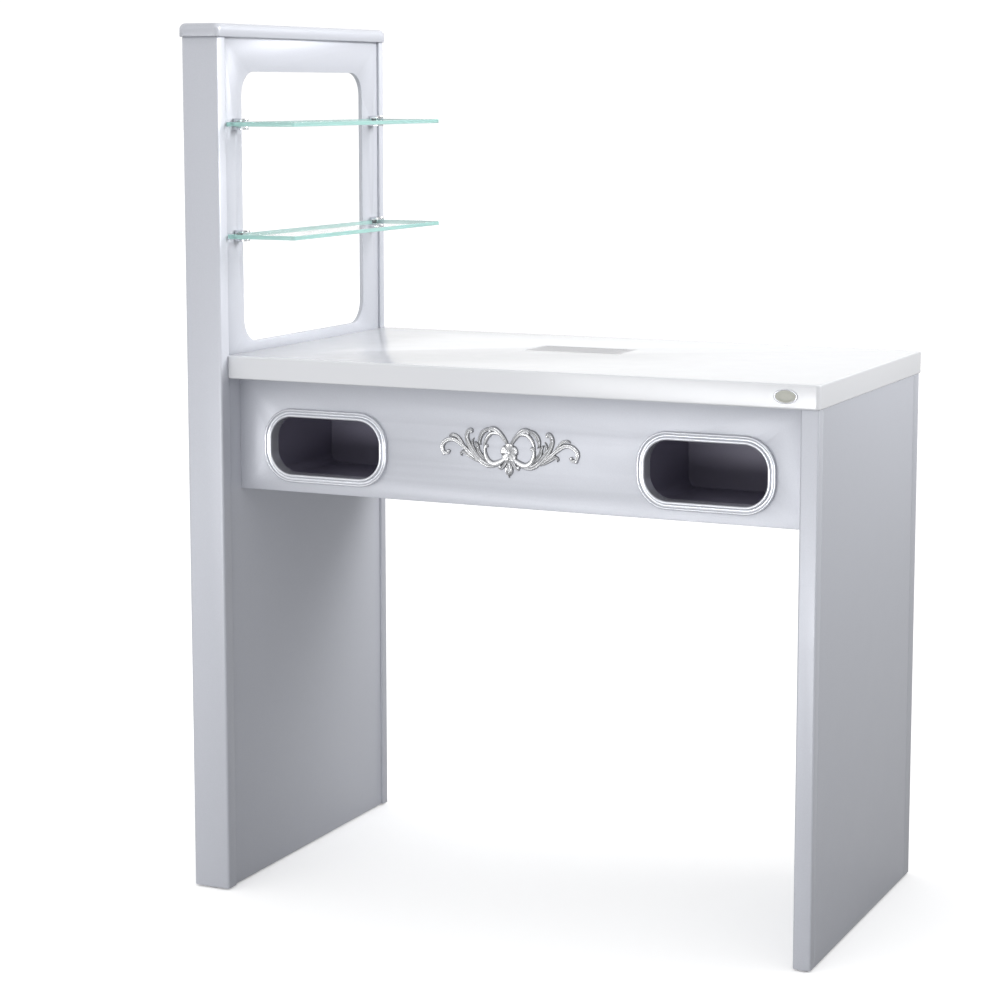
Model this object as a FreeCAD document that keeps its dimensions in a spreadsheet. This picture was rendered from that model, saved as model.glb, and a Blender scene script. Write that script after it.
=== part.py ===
"""Manicure table with a display tower, hand dryers, a dust extractor and two drawers.

Axes: X runs along the worktop (the tower is at its low end), Y runs from the customer's side
to the technician's side, Z is up.  The origin is at the bottom centre of the whole table.
"""
import FreeCAD
import Part
import math
import os
import re
import Sketcher

doc = FreeCAD.newDocument("ManicureTable")

# ---------------------------------------------------------------- driving sizes (millimetres)
SIZES = {
    # overall
    "overall_width": 936, "overall_depth": 502, "overall_height": 1250, "worktop_height": 782,
    # tower
    "tower_width": 58, "post_depth": 22, "post_round": 4, "stile_width": 25, "stile_depth": 14,
    "panel_recess": 3.5, "lower_panel_thick": 25, "display_panel_thick": 6,
    "seam_below_top": 16, "rail_height": 22, "rail_width": 38,
    "cap_thick": 19, "cap_overhang": 4, "cap_round": 9,
    "window_front_margin": 49, "window_rear_margin": 51, "window_sill": 14, "window_head": 48,
    "window_corner": 35,
    # right leg
    "leg_thick": 25, "leg_inset": 2, "leg_front": 22, "leg_rear_gap": 5, "leg_round": 3,
    "leg_front_strip": 18, "leg_rear_strip": 27, "strip_groove": 1,
    # worktop
    "worktop_thick": 33, "worktop_front": 18, "worktop_corner": 7, "worktop_edge": 2.5,
    # apron and cabinet under the worktop
    "apron_front": 56, "apron_thick": 16, "apron_height": 163, "bottom_thick": 10,
    "divider_thick": 12, "fascia_thick": 16, "fascia_gap": 2, "fascia_inset": 4,
    # hand ports
    "port_inset": 140.25, "port_drop": 96, "port_opening_width": 173, "port_opening_height": 82,
    "port_opening_corner": 33, "trim_band": 12, "trim_height": 2.5, "bead_height": 3.5,
    "bead_width": 4.5, "bead_round": 2, "sleeve_wall": 2,
    "bay_side": 17, "bay_depth": 188, "bay_wall": 3, "bay_corner": 18,
    # ornament and badge
    "ornament_width": 210, "ornament_height": 71, "ornament_thick": 5, "ornament_drop": 86,
    "badge_width": 33, "badge_height": 19, "badge_thick": 1.6, "badge_from_right": 46,
    # glass shelves and their clips
    "glass_thick": 6, "glass_end_gap": 21, "glass_depth": 109, "glass_corner": 6,
    "glass_panel_gap": 4.5, "lower_shelf_rise": 169, "shelf_spacing": 158,
    "clip_reach": 20, "clip_width": 16, "clip_height": 16, "clip_front": 54, "clip_rear": 34,
    "gasket_thick": 0.8, "gasket_width": 13, "clip_screw": 4, "screw_head": 7, "grub_screw": 4,
    # dust extractor
    "grille_width": 145, "grille_depth": 75, "grille_thick": 4, "grille_from_left": 410,
    "grille_rear_margin": 163, "grille_gap": 0.4, "grille_ledge": 4, "grille_rim": 7,
    "slot_width": 3, "slot_pitch": 6.5, "filter_height": 24, "filter_wall": 1.5, "filter_gap": 0.6,
    "plenum_wall": 2.5, "plenum_margin": 9, "plenum_side_gap": 1,
    # fans
    "bay_fan_size": 80, "dust_fan_size": 120, "fan_thick": 25, "fan_wall": 2, "blade_gap": 1.2,
    "blade_thick": 1.6, "fan_corner": 4, "fan_screw": 4.3, "fan_screw_inset": 4.3,
    "hub_round": 1.5, "hub_share": 0.38, "chord_share": 0.24, "strut_thick": 3, "strut_width": 5, "hub_gap": 0.8,
    "guard_wire": 2.5, "louvre_width": 110, "louvre_height": 66, "louvre_slot": 5,
    "louvre_drop": 0.3, "dryer_switch_place": -0.4, "extractor_switch_place": -0.1,
    "inlet_place": 0.3,
    # switches, inlet and supply
    "switch_width": 21, "switch_height": 28, "switch_depth": 14, "bezel_flange": 2,
    "bezel_rim": 1.5, "bezel_wall": 2, "rocker_gap": 0.7, "rocker_pin": 2.4, "rocker_play": 0.1,
    "rocker_proud": 1.2, "inlet_wall": 2.5, "socket_depth": 17, "contact_pitch": 7,
    "contact_rise": 3, "contact_width": 4, "contact_thick": 2, "contact_length": 14,
    "inlet_width": 30, "inlet_height": 23, "inlet_depth": 26,
    "supply_length": 110, "supply_width": 70, "supply_height": 38,
    # drawers
    "drawer_side_gap": 13, "drawer_wall": 12, "drawer_floor": 6, "drawer_height": 112,
    "drawer_rise": 14, "drawer_bay_gap": 32, "notch_width": 96, "notch_height": 24,
    "runner_width": 11, "runner_height": 35, "runner_wall": 2, "runner_gap": 0.4,
    # floor glides
    "glide_diameter": 18, "glide_height": 2,
    # screws
    "pan_head_height": 2.2,
}

# Places worked out from the sizes, in the same words.
PLACES = {
    "left": "-(overall_width - cap_overhang) / 2",
    "front": "-overall_depth / 2",
    "tower_right": "left + tower_width",
    "panel_face": "tower_right - panel_recess",
    "right_end": "left + overall_width",
    "leg_outer": "right_end - leg_inset",
    "leg_inner": "leg_outer - leg_thick",
    "leg_start": "front + leg_front",
    "leg_end": "front + overall_depth - leg_rear_gap",
    "body_top": "overall_height - cap_thick",
    "worktop_under": "worktop_height - worktop_thick",
    "seam": "worktop_height - seam_below_top",
    "panel_start": "front + post_depth",
    "panel_run": "overall_depth - post_depth - stile_depth",
    "apron_face": "front + apron_front",
    "apron_back": "apron_face + apron_thick",
    "apron_bottom": "worktop_under - apron_height",
    "cabinet_floor": "apron_bottom + bottom_thick",
    "apron_middle": "(panel_face + leg_inner) / 2",
    "port_level": "worktop_under - port_drop",
    "sleeve_width": "port_opening_width + 2 * sleeve_wall",
    "sleeve_height": "port_opening_height + 2 * sleeve_wall",
    "fascia_face": "front + overall_depth - fascia_inset",
    "fascia_back": "fascia_face - fascia_thick",
    "grille_middle": "left + grille_from_left + grille_width / 2",
    "grille_start": "front + overall_depth - grille_rear_margin - grille_depth",
    "hall": "grille_width + 2 * plenum_margin",
    "hall_left": "grille_middle - hall / 2",
    "hall_right": "grille_middle + hall / 2",
    "bay_start": "apron_back",
    "bay_width": "port_opening_width + 2 * bay_side",
    "bay_height": "2 * (port_level - cabinet_floor)",
    "bay_top": "port_level + bay_height / 2",
    "bay_fan_place": "bay_start + bay_depth / 2",
    "plenum_start": "grille_start - plenum_margin",
    "plenum_depth": "grille_depth + 2 * plenum_margin",
    "dust_fan_start": "plenum_start + plenum_depth",
    "dust_fan_level": "(cabinet_floor + worktop_under) / 2",
    "drawer_start": "bay_start + bay_depth + drawer_bay_gap",
    "drawer_depth": "fascia_back - drawer_start",
    "drawer_bottom": "cabinet_floor + drawer_rise",
    "lower_shelf": "worktop_height + lower_shelf_rise",
    "upper_shelf": "lower_shelf + shelf_spacing",
    "clip_start": "front + clip_front",
    "clip_span": "overall_depth - clip_front - clip_rear",
    "glass_length": "overall_depth - 2 * glass_end_gap",
    "slot": "glass_thick + 2 * gasket_thick",
}

sheet = doc.addObject("Spreadsheet::Sheet", "Sizes")
for row, (alias, value) in enumerate(SIZES.items(), start=1):
    sheet.set(f"A{row}", alias)
    sheet.set(f"B{row}", str(value))
    sheet.setAlias(f"B{row}", alias)
doc.recompute()


# ---------------------------------------------------------------- helpers
FUNCTIONS = ("sqrt", "floor")


def fx(text):
    """Write a size expression out in the sheet's cells."""
    def spell(match):
        word = match.group(0)
        if word in FUNCTIONS:
            return word
        if word in PLACES:
            return f"({fx(PLACES[word])})"
        return f"Sizes.{word}"
    return re.sub(r"[a-z][a-z_]+", spell, text)


def bind(piece, **sizes):
    """Bind properties of a piece to size expressions."""
    for name, text in sizes.items():
        piece.setExpression(name.replace("__", "."), fx(text))


def place(piece, x, y, z):
    bind(piece, Placement__Base__x=x, Placement__Base__y=y, Placement__Base__z=z)


def named(kind, label):
    piece = doc.addObject(kind, label)
    piece.Label = label
    return piece


def block(label, x, y, z, length, width, height):
    """A plain box, from its low corner."""
    piece = named("Part::Box", label)
    bind(piece, Length=length, Width=width, Height=height)
    place(piece, x, y, z)
    return piece


AXIS_TURN = {
    "x": FreeCAD.Rotation(FreeCAD.Vector(0, 1, 0), 90),
    "y": FreeCAD.Rotation(FreeCAD.Vector(1, 0, 0), -90),
    "z": FreeCAD.Rotation(),
}


def rod(label, axis, x, y, z, diameter, length):
    """A cylinder along an axis, from the centre of its low end."""
    piece = named("Part::Cylinder", label)
    piece.Placement = FreeCAD.Placement(FreeCAD.Vector(), AXIS_TURN[axis])
    bind(piece, Radius=f"({diameter}) / 2", Height=length)
    place(piece, x, y, z)
    return piece


def fuse(label, pieces):
    piece = named("Part::MultiFuse", label)
    piece.Shapes = pieces
    piece.Refine = True
    return piece


def cut(label, base, tool):
    piece = named("Part::Cut", label)
    piece.Base = base
    piece.Tool = tool
    piece.Refine = True
    return piece


def group(label, pieces):
    """Separate identical pieces that share one node."""
    piece = named("Part::Compound", label)
    piece.Links = pieces
    return piece


def body_at(label, x, y, z):
    body = named("PartDesign::Body", label)
    place(body, x, y, z)
    return body


PLANES = {"XY": "XY_Plane", "XZ": "XZ_Plane", "YZ": "YZ_Plane"}


def sketch_on(body, plane, level="0"):
    """An empty sketch on one of the body's own planes, raised along the plane's axis."""
    sketch = body.newObject("Sketcher::SketchObject", f"{body.Name}_sketch")
    origin = [part for part in body.Origin.OriginFeatures if part.Role == PLANES[plane]][0]
    sketch.AttachmentSupport = [(origin, "")]
    sketch.MapMode = "FlatFace"
    sign = "-" if plane == "XZ" else ""
    bind(sketch, AttachmentOffset__Base__z=f"{sign}({level})")
    return sketch


def size_constraint(sketch, text, rough, *description):
    """A dimension of a sketch that follows a size expression from a rough first value."""
    index = sketch.addConstraint(Sketcher.Constraint(*description, rough))
    name = f"{description[0].lower()}_{index}"
    sketch.renameConstraint(index, name)
    bind(sketch, **{f"Constraints__{name}": text})


def pin_point(sketch, shape, point, x, y):
    """Hold a point of a sketch at (x, y)."""
    for kind, text, axis in (("DistanceX", x, -2), ("DistanceY", y, -1)):
        if text == "0":
            sketch.addConstraint(Sketcher.Constraint("PointOnObject", shape, point, axis))
        else:
            size_constraint(sketch, text, 10.0, kind, -1, 1, shape, point)


def add_rectangle(sketch, x, y, width, height):
    """A rectangle with its low corner at (x, y)."""
    corners = [FreeCAD.Vector(10, 10), FreeCAD.Vector(20, 10),
               FreeCAD.Vector(20, 20), FreeCAD.Vector(10, 20)]
    first = sketch.GeometryCount
    for index in range(4):
        sketch.addGeometry(Part.LineSegment(corners[index], corners[(index + 1) % 4]))
    for index in range(4):
        following = first + (index + 1) % 4
        sketch.addConstraint(Sketcher.Constraint("Coincident", first + index, 2, following, 1))
        kind = "Horizontal" if index % 2 == 0 else "Vertical"
        sketch.addConstraint(Sketcher.Constraint(kind, first + index))
    pin_point(sketch, first, 1, x, y)
    size_constraint(sketch, width, 10.0, "DistanceX", first, 1, first, 2)
    size_constraint(sketch, height, 10.0, "DistanceY", first + 1, 1, first + 1, 2)


def add_polygon(sketch, points):
    """A closed outline of straight lines through the given corners."""
    first = sketch.GeometryCount
    count = len(points)
    rough = [FreeCAD.Vector(20 + 10 * math.cos(2 * math.pi * index / count),
                            20 + 10 * math.sin(2 * math.pi * index / count))
             for index in range(count)]
    for index in range(count):
        sketch.addGeometry(Part.LineSegment(rough[index], rough[(index + 1) % count]))
    for index, (x, y) in enumerate(points):
        following = first + (index + 1) % count
        sketch.addConstraint(Sketcher.Constraint("Coincident", first + index, 2, following, 1))
        pin_point(sketch, first + index, 1, x, y)


def add_round_rectangle(sketch, x, y, width, height, corner):
    """A rectangle with rounded corners and its low corner at (x, y)."""
    first = sketch.GeometryCount
    span, bend = 40.0, 10.0
    turns = [FreeCAD.Vector(bend + span, bend), FreeCAD.Vector(bend + span, bend + span),
             FreeCAD.Vector(bend, bend + span), FreeCAD.Vector(bend, bend)]
    for index, middle in enumerate(turns):
        before = turns[index - 1]
        out = FreeCAD.Vector(math.sin(index * math.pi / 2), -math.cos(index * math.pi / 2)) * bend
        sketch.addGeometry(Part.LineSegment(before + out, middle + out))
        circle = Part.Circle(middle, FreeCAD.Vector(0, 0, 1), bend)
        start = (index - 1) * math.pi / 2
        sketch.addGeometry(Part.ArcOfCircle(circle, start, start + math.pi / 2))
    size_constraint(sketch, corner, bend, "Radius", first + 1)
    for index in range(4):
        line = first + 2 * index
        arc = line + 1
        following = first + (2 * index + 2) % 8
        if index:
            sketch.addConstraint(Sketcher.Constraint("Equal", first + 1, arc))
        sketch.addConstraint(Sketcher.Constraint("Tangent", line, 2, arc, 1))
        sketch.addConstraint(Sketcher.Constraint("Tangent", arc, 2, following, 1))
        kind = "Horizontal" if index % 2 == 0 else "Vertical"
        sketch.addConstraint(Sketcher.Constraint(kind, line))
    low_left = first + 7
    pin_point(sketch, low_left, 3, f"{x} + {corner}", f"{y} + {corner}")
    size_constraint(sketch, f"{width} - 2 * ({corner})", span,
                    "DistanceX", low_left, 3, first + 1, 3)
    size_constraint(sketch, f"{height} - 2 * ({corner})", span,
                    "DistanceY", first + 1, 3, first + 3, 3)


def add_circle(sketch, x, y, diameter):
    shape = sketch.addGeometry(Part.Circle(FreeCAD.Vector(15, 15), FreeCAD.Vector(0, 0, 1), 5))
    size_constraint(sketch, diameter, 10.0, "Diameter", shape)
    pin_point(sketch, shape, 3, x, y)


def pad(body, sketch, plane, length):
    """Material from the sketch towards the axis's high end."""
    feature = body.newObject("PartDesign::Pad", f"{body.Name}_pad")
    feature.Profile = sketch
    feature.Reversed = plane == "XZ"
    bind(feature, Length=length)
    doc.recompute()
    return feature


def pocket(body, sketch, plane, depth=None):
    """A hole from the sketch towards the axis's high end, or right through."""
    doc.recompute()
    before = body.Shape.Volume
    feature = body.newObject("PartDesign::Pocket", f"{body.Name}_pocket")
    feature.Profile = sketch
    if depth is None:
        feature.Type = "ThroughAll"
        feature.Midplane = True
    else:
        feature.Reversed = plane != "XZ"
        bind(feature, Length=depth)
    doc.recompute()
    if feature.Shape.Volume >= before:
        raise RuntimeError(f"{feature.Name} cuts nothing")
    return feature


def straight_edges(feature, axis, inner=False, **sides):
    """Names of the straight edges along an axis.

    sides says which faces of the bounding box they lie on (y="low"); inner asks for edges
    that lie on none of them.
    """
    bound = feature.Shape.BoundBox
    low = {"x": bound.XMin, "y": bound.YMin, "z": bound.ZMin}
    high = {"x": bound.XMax, "y": bound.YMax, "z": bound.ZMax}
    found = []
    for index, edge in enumerate(feature.Shape.Edges, start=1):
        if edge.Curve.TypeId != "Part::GeomLine":
            continue
        if abs(getattr(edge.tangentAt(edge.FirstParameter), axis)) < 0.999:
            continue
        middle = edge.CenterOfMass
        across = [name for name in "xyz" if name != axis]
        near = {}
        for name in across:
            value = getattr(middle, name)
            near[name] = "low" if abs(value - low[name]) < 0.01 else ""
            near[name] = "high" if abs(value - high[name]) < 0.01 else near[name]
        if inner and any(near.values()):
            continue
        if all(near[name] == side for name, side in sides.items()):
            found.append(f"Edge{index}")
    if not found:
        raise RuntimeError(f"{feature.Name} has no such edge")
    return found


def rim_edges(feature, axis, side):
    """Names of the edges that lie wholly in one face of the bounding box."""
    limit = axis.upper() + ("Min" if side == "low" else "Max")
    level = getattr(feature.Shape.BoundBox, limit)
    low, high = axis.upper() + "Min", axis.upper() + "Max"
    return [f"Edge{index}" for index, edge in enumerate(feature.Shape.Edges, start=1)
            if abs(getattr(edge.BoundBox, low) - level) < 0.01
            and abs(getattr(edge.BoundBox, high) - level) < 0.01]


def round_edges(body, edges, radius, kind="PartDesign::Fillet"):
    base = body.Tip
    feature = body.newObject(kind, f"{body.Name}_round")
    feature.Base = (base, edges)
    bind(feature, **{"Radius" if kind == "PartDesign::Fillet" else "Size": radius})
    doc.recompute()
    return feature


def plate(label, plane, x, y, z, across, up, thick):
    """A flat board with its low corner at (x, y, z), drawn on a plane and given a thickness."""
    body = body_at(label, x, y, z)
    sketch = sketch_on(body, plane)
    add_rectangle(sketch, "0", "0", across, up)
    pad(body, sketch, plane, thick)
    return body


def opening(body, plane, x, y, across, up, level="0", depth=None, corner=None):
    """A rectangular opening in a body, with rounded corners when asked for."""
    sketch = sketch_on(body, plane, level)
    if corner is None:
        add_rectangle(sketch, x, y, across, up)
    else:
        add_round_rectangle(sketch, x, y, across, up, corner)
    return pocket(body, sketch, plane, depth)


def bores(body, plane, centres, diameter, level="0", depth=None):
    sketch = sketch_on(body, plane, level)
    for x, y in centres:
        add_circle(sketch, x, y, diameter)
    return pocket(body, sketch, plane, depth)


# ---------------------------------------------------------------- tower
post_height = "body_top - glide_height"
post = plate("tower_front_post", "XY", "left", "front", "glide_height",
             "tower_width", "post_depth", post_height)
round_edges(post, straight_edges(post.Tip, "z", y="low"), "post_round")

stile = plate("tower_rear_stile", "XY", "tower_right - stile_width",
              "front + overall_depth - stile_depth", "glide_height",
              "stile_width", "stile_depth", post_height)
round_edges(stile, straight_edges(stile.Tip, "z", x="high", y="high"), "strip_groove")

block("tower_lower_panel", "panel_face - lower_panel_thick", "panel_start", "glide_height",
      "lower_panel_thick", "panel_run", "seam - glide_height")

display = plate("tower_display_panel", "YZ", "panel_face - display_panel_thick", "panel_start",
                "seam", "panel_run", "body_top - seam", "display_panel_thick")
opening(display, "YZ", "window_front_margin", "seam_below_top + window_sill",
        "panel_run - window_front_margin - window_rear_margin",
        "body_top - worktop_height - window_sill - window_head", corner="window_corner")
clip_rows = ["clip_front - post_depth", "clip_front - post_depth + clip_span"]
clip_levels = {"lower": "lower_shelf", "upper": "upper_shelf"}
bores(display, "YZ", [(along, f"{level} - seam") for along in clip_rows
                      for level in clip_levels.values()], "clip_screw")

block("tower_top_rail", "panel_face - display_panel_thick - rail_width", "panel_start",
      "body_top - rail_height", "rail_width", "panel_run", "rail_height")

cap = plate("tower_cap", "XY", "left - cap_overhang", "front - cap_overhang", "body_top",
            "tower_width + 2 * cap_overhang", "overall_depth + 2 * cap_overhang", "cap_thick")
cap_edges = straight_edges(cap.Tip, "x", z="high") + straight_edges(cap.Tip, "y", z="high")
round_edges(cap, cap_edges + straight_edges(cap.Tip, "z"), "cap_round")

# ---------------------------------------------------------------- right leg
leg_height = "worktop_under - glide_height"
strip = plate("right_leg_front_strip", "XY", "leg_inner", "leg_start", "glide_height",
              "leg_thick", "leg_front_strip", leg_height)
round_edges(strip, straight_edges(strip.Tip, "z", y="low"), "leg_round")
leg_run = "leg_end - leg_start - leg_front_strip - leg_rear_strip"
leg = plate("right_leg_panel", "XY", "leg_inner", "leg_start + leg_front_strip", "glide_height",
            "leg_thick", leg_run, leg_height)
round_edges(leg, straight_edges(leg.Tip, "z", x="high"), "strip_groove", "PartDesign::Chamfer")
strip = plate("right_leg_rear_strip", "XY", "leg_inner", "leg_end - leg_rear_strip",
              "glide_height", "leg_thick", "leg_rear_strip", leg_height)
round_edges(strip, straight_edges(strip.Tip, "z", y="high"), "leg_round")

# ---------------------------------------------------------------- worktop
worktop = plate("worktop", "XY", "tower_right", "front + worktop_front", "worktop_under",
                "right_end - tower_right", "overall_depth - worktop_front", "worktop_thick")
round_edges(worktop, straight_edges(worktop.Tip, "z", x="high"), "worktop_corner")
long_edges = straight_edges(worktop.Tip, "x", y="low") + straight_edges(worktop.Tip, "x", y="high")
round_edges(worktop, long_edges + straight_edges(worktop.Tip, "y", x="high"), "worktop_edge")
grille_x = "grille_middle - grille_width / 2 - tower_right"
grille_y = "grille_start - front - worktop_front"
recess_level = "worktop_thick - grille_thick"
opening(worktop, "XY", f"{grille_x} - grille_gap", f"{grille_y} - grille_gap",
        "grille_width + 2 * grille_gap", "grille_depth + 2 * grille_gap",
        level=recess_level, depth="2 * grille_thick")
opening(worktop, "XY", f"{grille_x} + grille_ledge", f"{grille_y} + grille_ledge",
        "grille_width - 2 * grille_ledge", "grille_depth - 2 * grille_ledge")

# ---------------------------------------------------------------- apron and cabinet
port_middles = {"left": "panel_face + port_inset", "right": "leg_inner - port_inset"}
apron = plate("front_apron", "XZ", "panel_face", "apron_face", "apron_bottom",
              "leg_inner - panel_face", "apron_height", "apron_thick")
for side, middle in port_middles.items():
    opening(apron, "XZ", f"{middle} - sleeve_width / 2 - panel_face",
            "port_level - sleeve_height / 2 - apron_bottom", "sleeve_width", "sleeve_height",
            corner="port_opening_corner + sleeve_wall")

block("bottom_board", "panel_face", "apron_back", "apron_bottom",
      "leg_inner - panel_face", "fascia_back - apron_back", "bottom_thick")
divider_places = {"left": "hall_left - divider_thick", "right": "hall_right"}
for side, x in divider_places.items():
    block(f"{side}_divider", x, "apron_back", "cabinet_floor",
          "divider_thick", "fascia_back - apron_back", "worktop_under - cabinet_floor")

fascia = plate("rear_fascia", "XZ", "hall_left - divider_thick", "fascia_back",
               "apron_bottom + fascia_gap", "hall + 2 * divider_thick",
               "apron_height - fascia_gap", "fascia_thick")
fascia_left = "hall_left - divider_thick"
fascia_bottom = "apron_bottom + fascia_gap"
louvre_x = "grille_middle - louvre_width / 2"
louvre_z = "dust_fan_level + louvre_drop * (dust_fan_size - louvre_height) - louvre_height / 2"
opening(fascia, "XZ", f"{louvre_x} - ({fascia_left})", f"{louvre_z} - ({fascia_bottom})",
        "louvre_width", "louvre_height")
service_level = "cabinet_floor + switch_height / 2 + fascia_gap"
service_places = {
    "dryer_switch": ("grille_middle + dryer_switch_place * louvre_width", "switch_width", "switch_height"),
    "extractor_switch": ("grille_middle + extractor_switch_place * louvre_width", "switch_width", "switch_height"),
    "inlet": ("grille_middle + inlet_place * louvre_width", "inlet_width", "inlet_height"),
}
for middle, width, height in service_places.values():
    opening(fascia, "XZ", f"{middle} - ({width}) / 2 - ({fascia_left})",
            f"{service_level} - ({height}) / 2 - ({fascia_bottom})", width, height)

# ---------------------------------------------------------------- hand ports and dryer bays
def add_ring(trim, inset, wall, level, thick):
    """A band of a port trim: set in from the trim's outer edge, from a level backwards."""
    width = f"port_opening_width + 2 * (trim_band - ({inset}))"
    height = f"port_opening_height + 2 * (trim_band - ({inset}))"
    corner = f"port_opening_corner + trim_band - ({inset})"
    ring = sketch_on(trim, "XZ", level)
    add_round_rectangle(ring, inset, inset, width, height, corner)
    add_round_rectangle(ring, f"{inset} + {wall}", f"{inset} + {wall}",
                        f"{width} - 2 * {wall}", f"{height} - 2 * {wall}", f"{corner} - {wall}")
    pad(trim, ring, "XZ", thick)


for side, middle in port_middles.items():
    trim = body_at(f"{side}_port_trim", f"{middle} - port_opening_width / 2 - trim_band",
                   "apron_face - trim_height",
                   "port_level - port_opening_height / 2 - trim_band")
    add_ring(trim, "0", "trim_band", "0", "trim_height")
    add_ring(trim, "trim_band - sleeve_wall", "sleeve_wall", "trim_height", "apron_thick")
    add_ring(trim, "0", "bead_width", "-bead_height", "bead_height")
    add_ring(trim, "trim_band - bead_width", "bead_width", "-bead_height", "bead_height")
    round_edges(trim, rim_edges(trim.Tip, "y", "low"), "bead_round")

for side, middle in port_middles.items():
    shell = plate(f"{side}_bay_shell", "XZ", f"{middle} - bay_width / 2", "bay_start",
                  "cabinet_floor", "bay_width", "bay_height", "bay_depth")
    round_edges(shell, straight_edges(shell.Tip, "y"), "bay_corner")
    opening(shell, "XZ", "bay_wall", "bay_wall", "bay_width - 2 * bay_wall",
            "bay_height - 2 * bay_wall", depth="bay_depth - bay_wall",
            corner="bay_corner - bay_wall")
    bores(shell, "XY", [("bay_width / 2", "bay_depth / 2")], "bay_fan_size - 2 * fan_wall",
          level="bay_height - 2 * bay_wall", depth="3 * bay_wall")


# ---------------------------------------------------------------- fans
def fan(label, size, x, y, z, axis, blades):
    """A fan from the centre of its inlet face: a frame with a hub seat, and a rotor.

    The air moves along the axis; the frame's own Z is turned onto it.
    """
    half = f"{size} / 2"
    hub = f"hub_share * {size}"
    seat = "fan_thick - strut_thick"
    turn = FreeCAD.Placement(FreeCAD.Vector(), AXIS_TURN[axis])
    frame = named("PartDesign::Body", f"{label}_frame")
    frame.Placement = turn
    low = {"z": (f"{x} - {half}", f"{y} - {half}", z),
           "y": (f"{x} - {half}", y, f"{z} + {half}")}[axis]
    place(frame, *low)
    sketch = sketch_on(frame, "XY")
    add_rectangle(sketch, "0", "0", size, size)
    pad(frame, sketch, "XY", "fan_thick")
    round_edges(frame, straight_edges(frame.Tip, "z"), "fan_corner")
    bores(frame, "XY", [(half, half)], f"{size} - 2 * fan_wall")
    for across, up, width, height in (("0", f"{half} - strut_width / 2", size, "strut_width"),
                                      (f"{half} - strut_width / 2", "0", "strut_width", size)):
        strut = sketch_on(frame, "XY", seat)
        add_rectangle(strut, across, up, width, height)
        pad(frame, strut, "XY", "strut_thick")
    disc = sketch_on(frame, "XY", seat)
    add_circle(disc, half, half, hub)
    pad(frame, disc, "XY", "strut_thick")
    near, far = "fan_screw_inset", f"{size} - fan_screw_inset"
    bores(frame, "XY", [(near, near), (far, near), (near, far), (far, far)], "fan_screw")

    rotor = named("PartDesign::Body", f"{label}_rotor")
    rotor.Placement = turn
    place(rotor, x, y, z)
    bind(rotor, **{f"Placement__Base__{axis}": f"({y if axis == 'y' else z}) + hub_gap"})
    sketch = sketch_on(rotor, "XY")
    add_circle(sketch, "0", "0", hub)
    depth = f"{seat} - 2 * hub_gap"
    pad(rotor, sketch, "XY", depth)
    chord = f"chord_share * {size}"
    tip = f"({half} - fan_wall - blade_gap)"
    blade = sketch_on(rotor, "YZ", f"{hub} / 2 - blade_thick")
    add_polygon(blade, [("0", "blade_thick"), (chord, f"{depth} - 2 * blade_thick"),
                        (chord, f"{depth} - blade_thick"), ("0", "2 * blade_thick")])
    reach = f"sqrt({tip} ^ 2 - ({chord}) ^ 2) - ({hub} / 2 - blade_thick)"
    first_blade = pad(rotor, blade, "YZ", reach)
    ring = rotor.newObject("PartDesign::PolarPattern", f"{label}_blades")
    ring.Originals = [first_blade]
    ring.Axis = (sketch, ["N_Axis"])
    ring.Angle = 360
    ring.Occurrences = blades
    rotor.Tip = ring
    doc.recompute()
    round_edges(rotor, [name for name in rim_edges(rotor.Tip, "z", "low")
                        if rotor.Tip.Shape.getElement(name).Curve.TypeId == "Part::GeomCircle"],
                "hub_round")


for side, middle in port_middles.items():
    fan(f"{side}_fan", "bay_fan_size", middle, "bay_fan_place", "bay_top", "z", 7)
    guard_level = "bay_top - bay_wall - guard_wire / 2"
    wires = []
    for index, share in enumerate((1, 0.7, 0.4)):
        ring = named("Part::Torus", f"{side}_guard_ring_{index}")
        bind(ring, Radius1=f"{share} * (bay_fan_size / 2 - fan_wall + guard_wire / 2)",
             Radius2="guard_wire / 2")
        place(ring, middle, "bay_fan_place", guard_level)
        wires.append(ring)
    reach = "(bay_fan_size / 2 - fan_wall + guard_wire / 2)"
    wires.append(rod(f"{side}_guard_wire_x", "x", f"{middle} - {reach}", "bay_fan_place",
                     guard_level, "guard_wire", f"2 * {reach}"))
    wires.append(rod(f"{side}_guard_wire_y", "y", middle, f"bay_fan_place - {reach}",
                     guard_level, "guard_wire", f"2 * {reach}"))
    fuse(f"{side}_fan_guard", wires)
fan("dust_fan", "dust_fan_size", "grille_middle", "dust_fan_start", "dust_fan_level", "y", 7)

# ---------------------------------------------------------------- dust extractor
plenum = plate("dust_plenum", "XY", "hall_left + plenum_side_gap", "plenum_start",
               "cabinet_floor", "hall - 2 * plenum_side_gap", "plenum_depth",
               "worktop_under - cabinet_floor")
opening(plenum, "XY", "plenum_wall", "plenum_wall",
        "hall - 2 * plenum_side_gap - 2 * plenum_wall", "plenum_depth - 2 * plenum_wall",
        level="plenum_wall", depth="worktop_under - cabinet_floor")
bores(plenum, "XZ", [("hall / 2 - plenum_side_gap", "dust_fan_level - cabinet_floor")],
      "dust_fan_size - 2 * fan_wall", level="plenum_depth - 2 * plenum_wall",
      depth="3 * plenum_wall")

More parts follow.
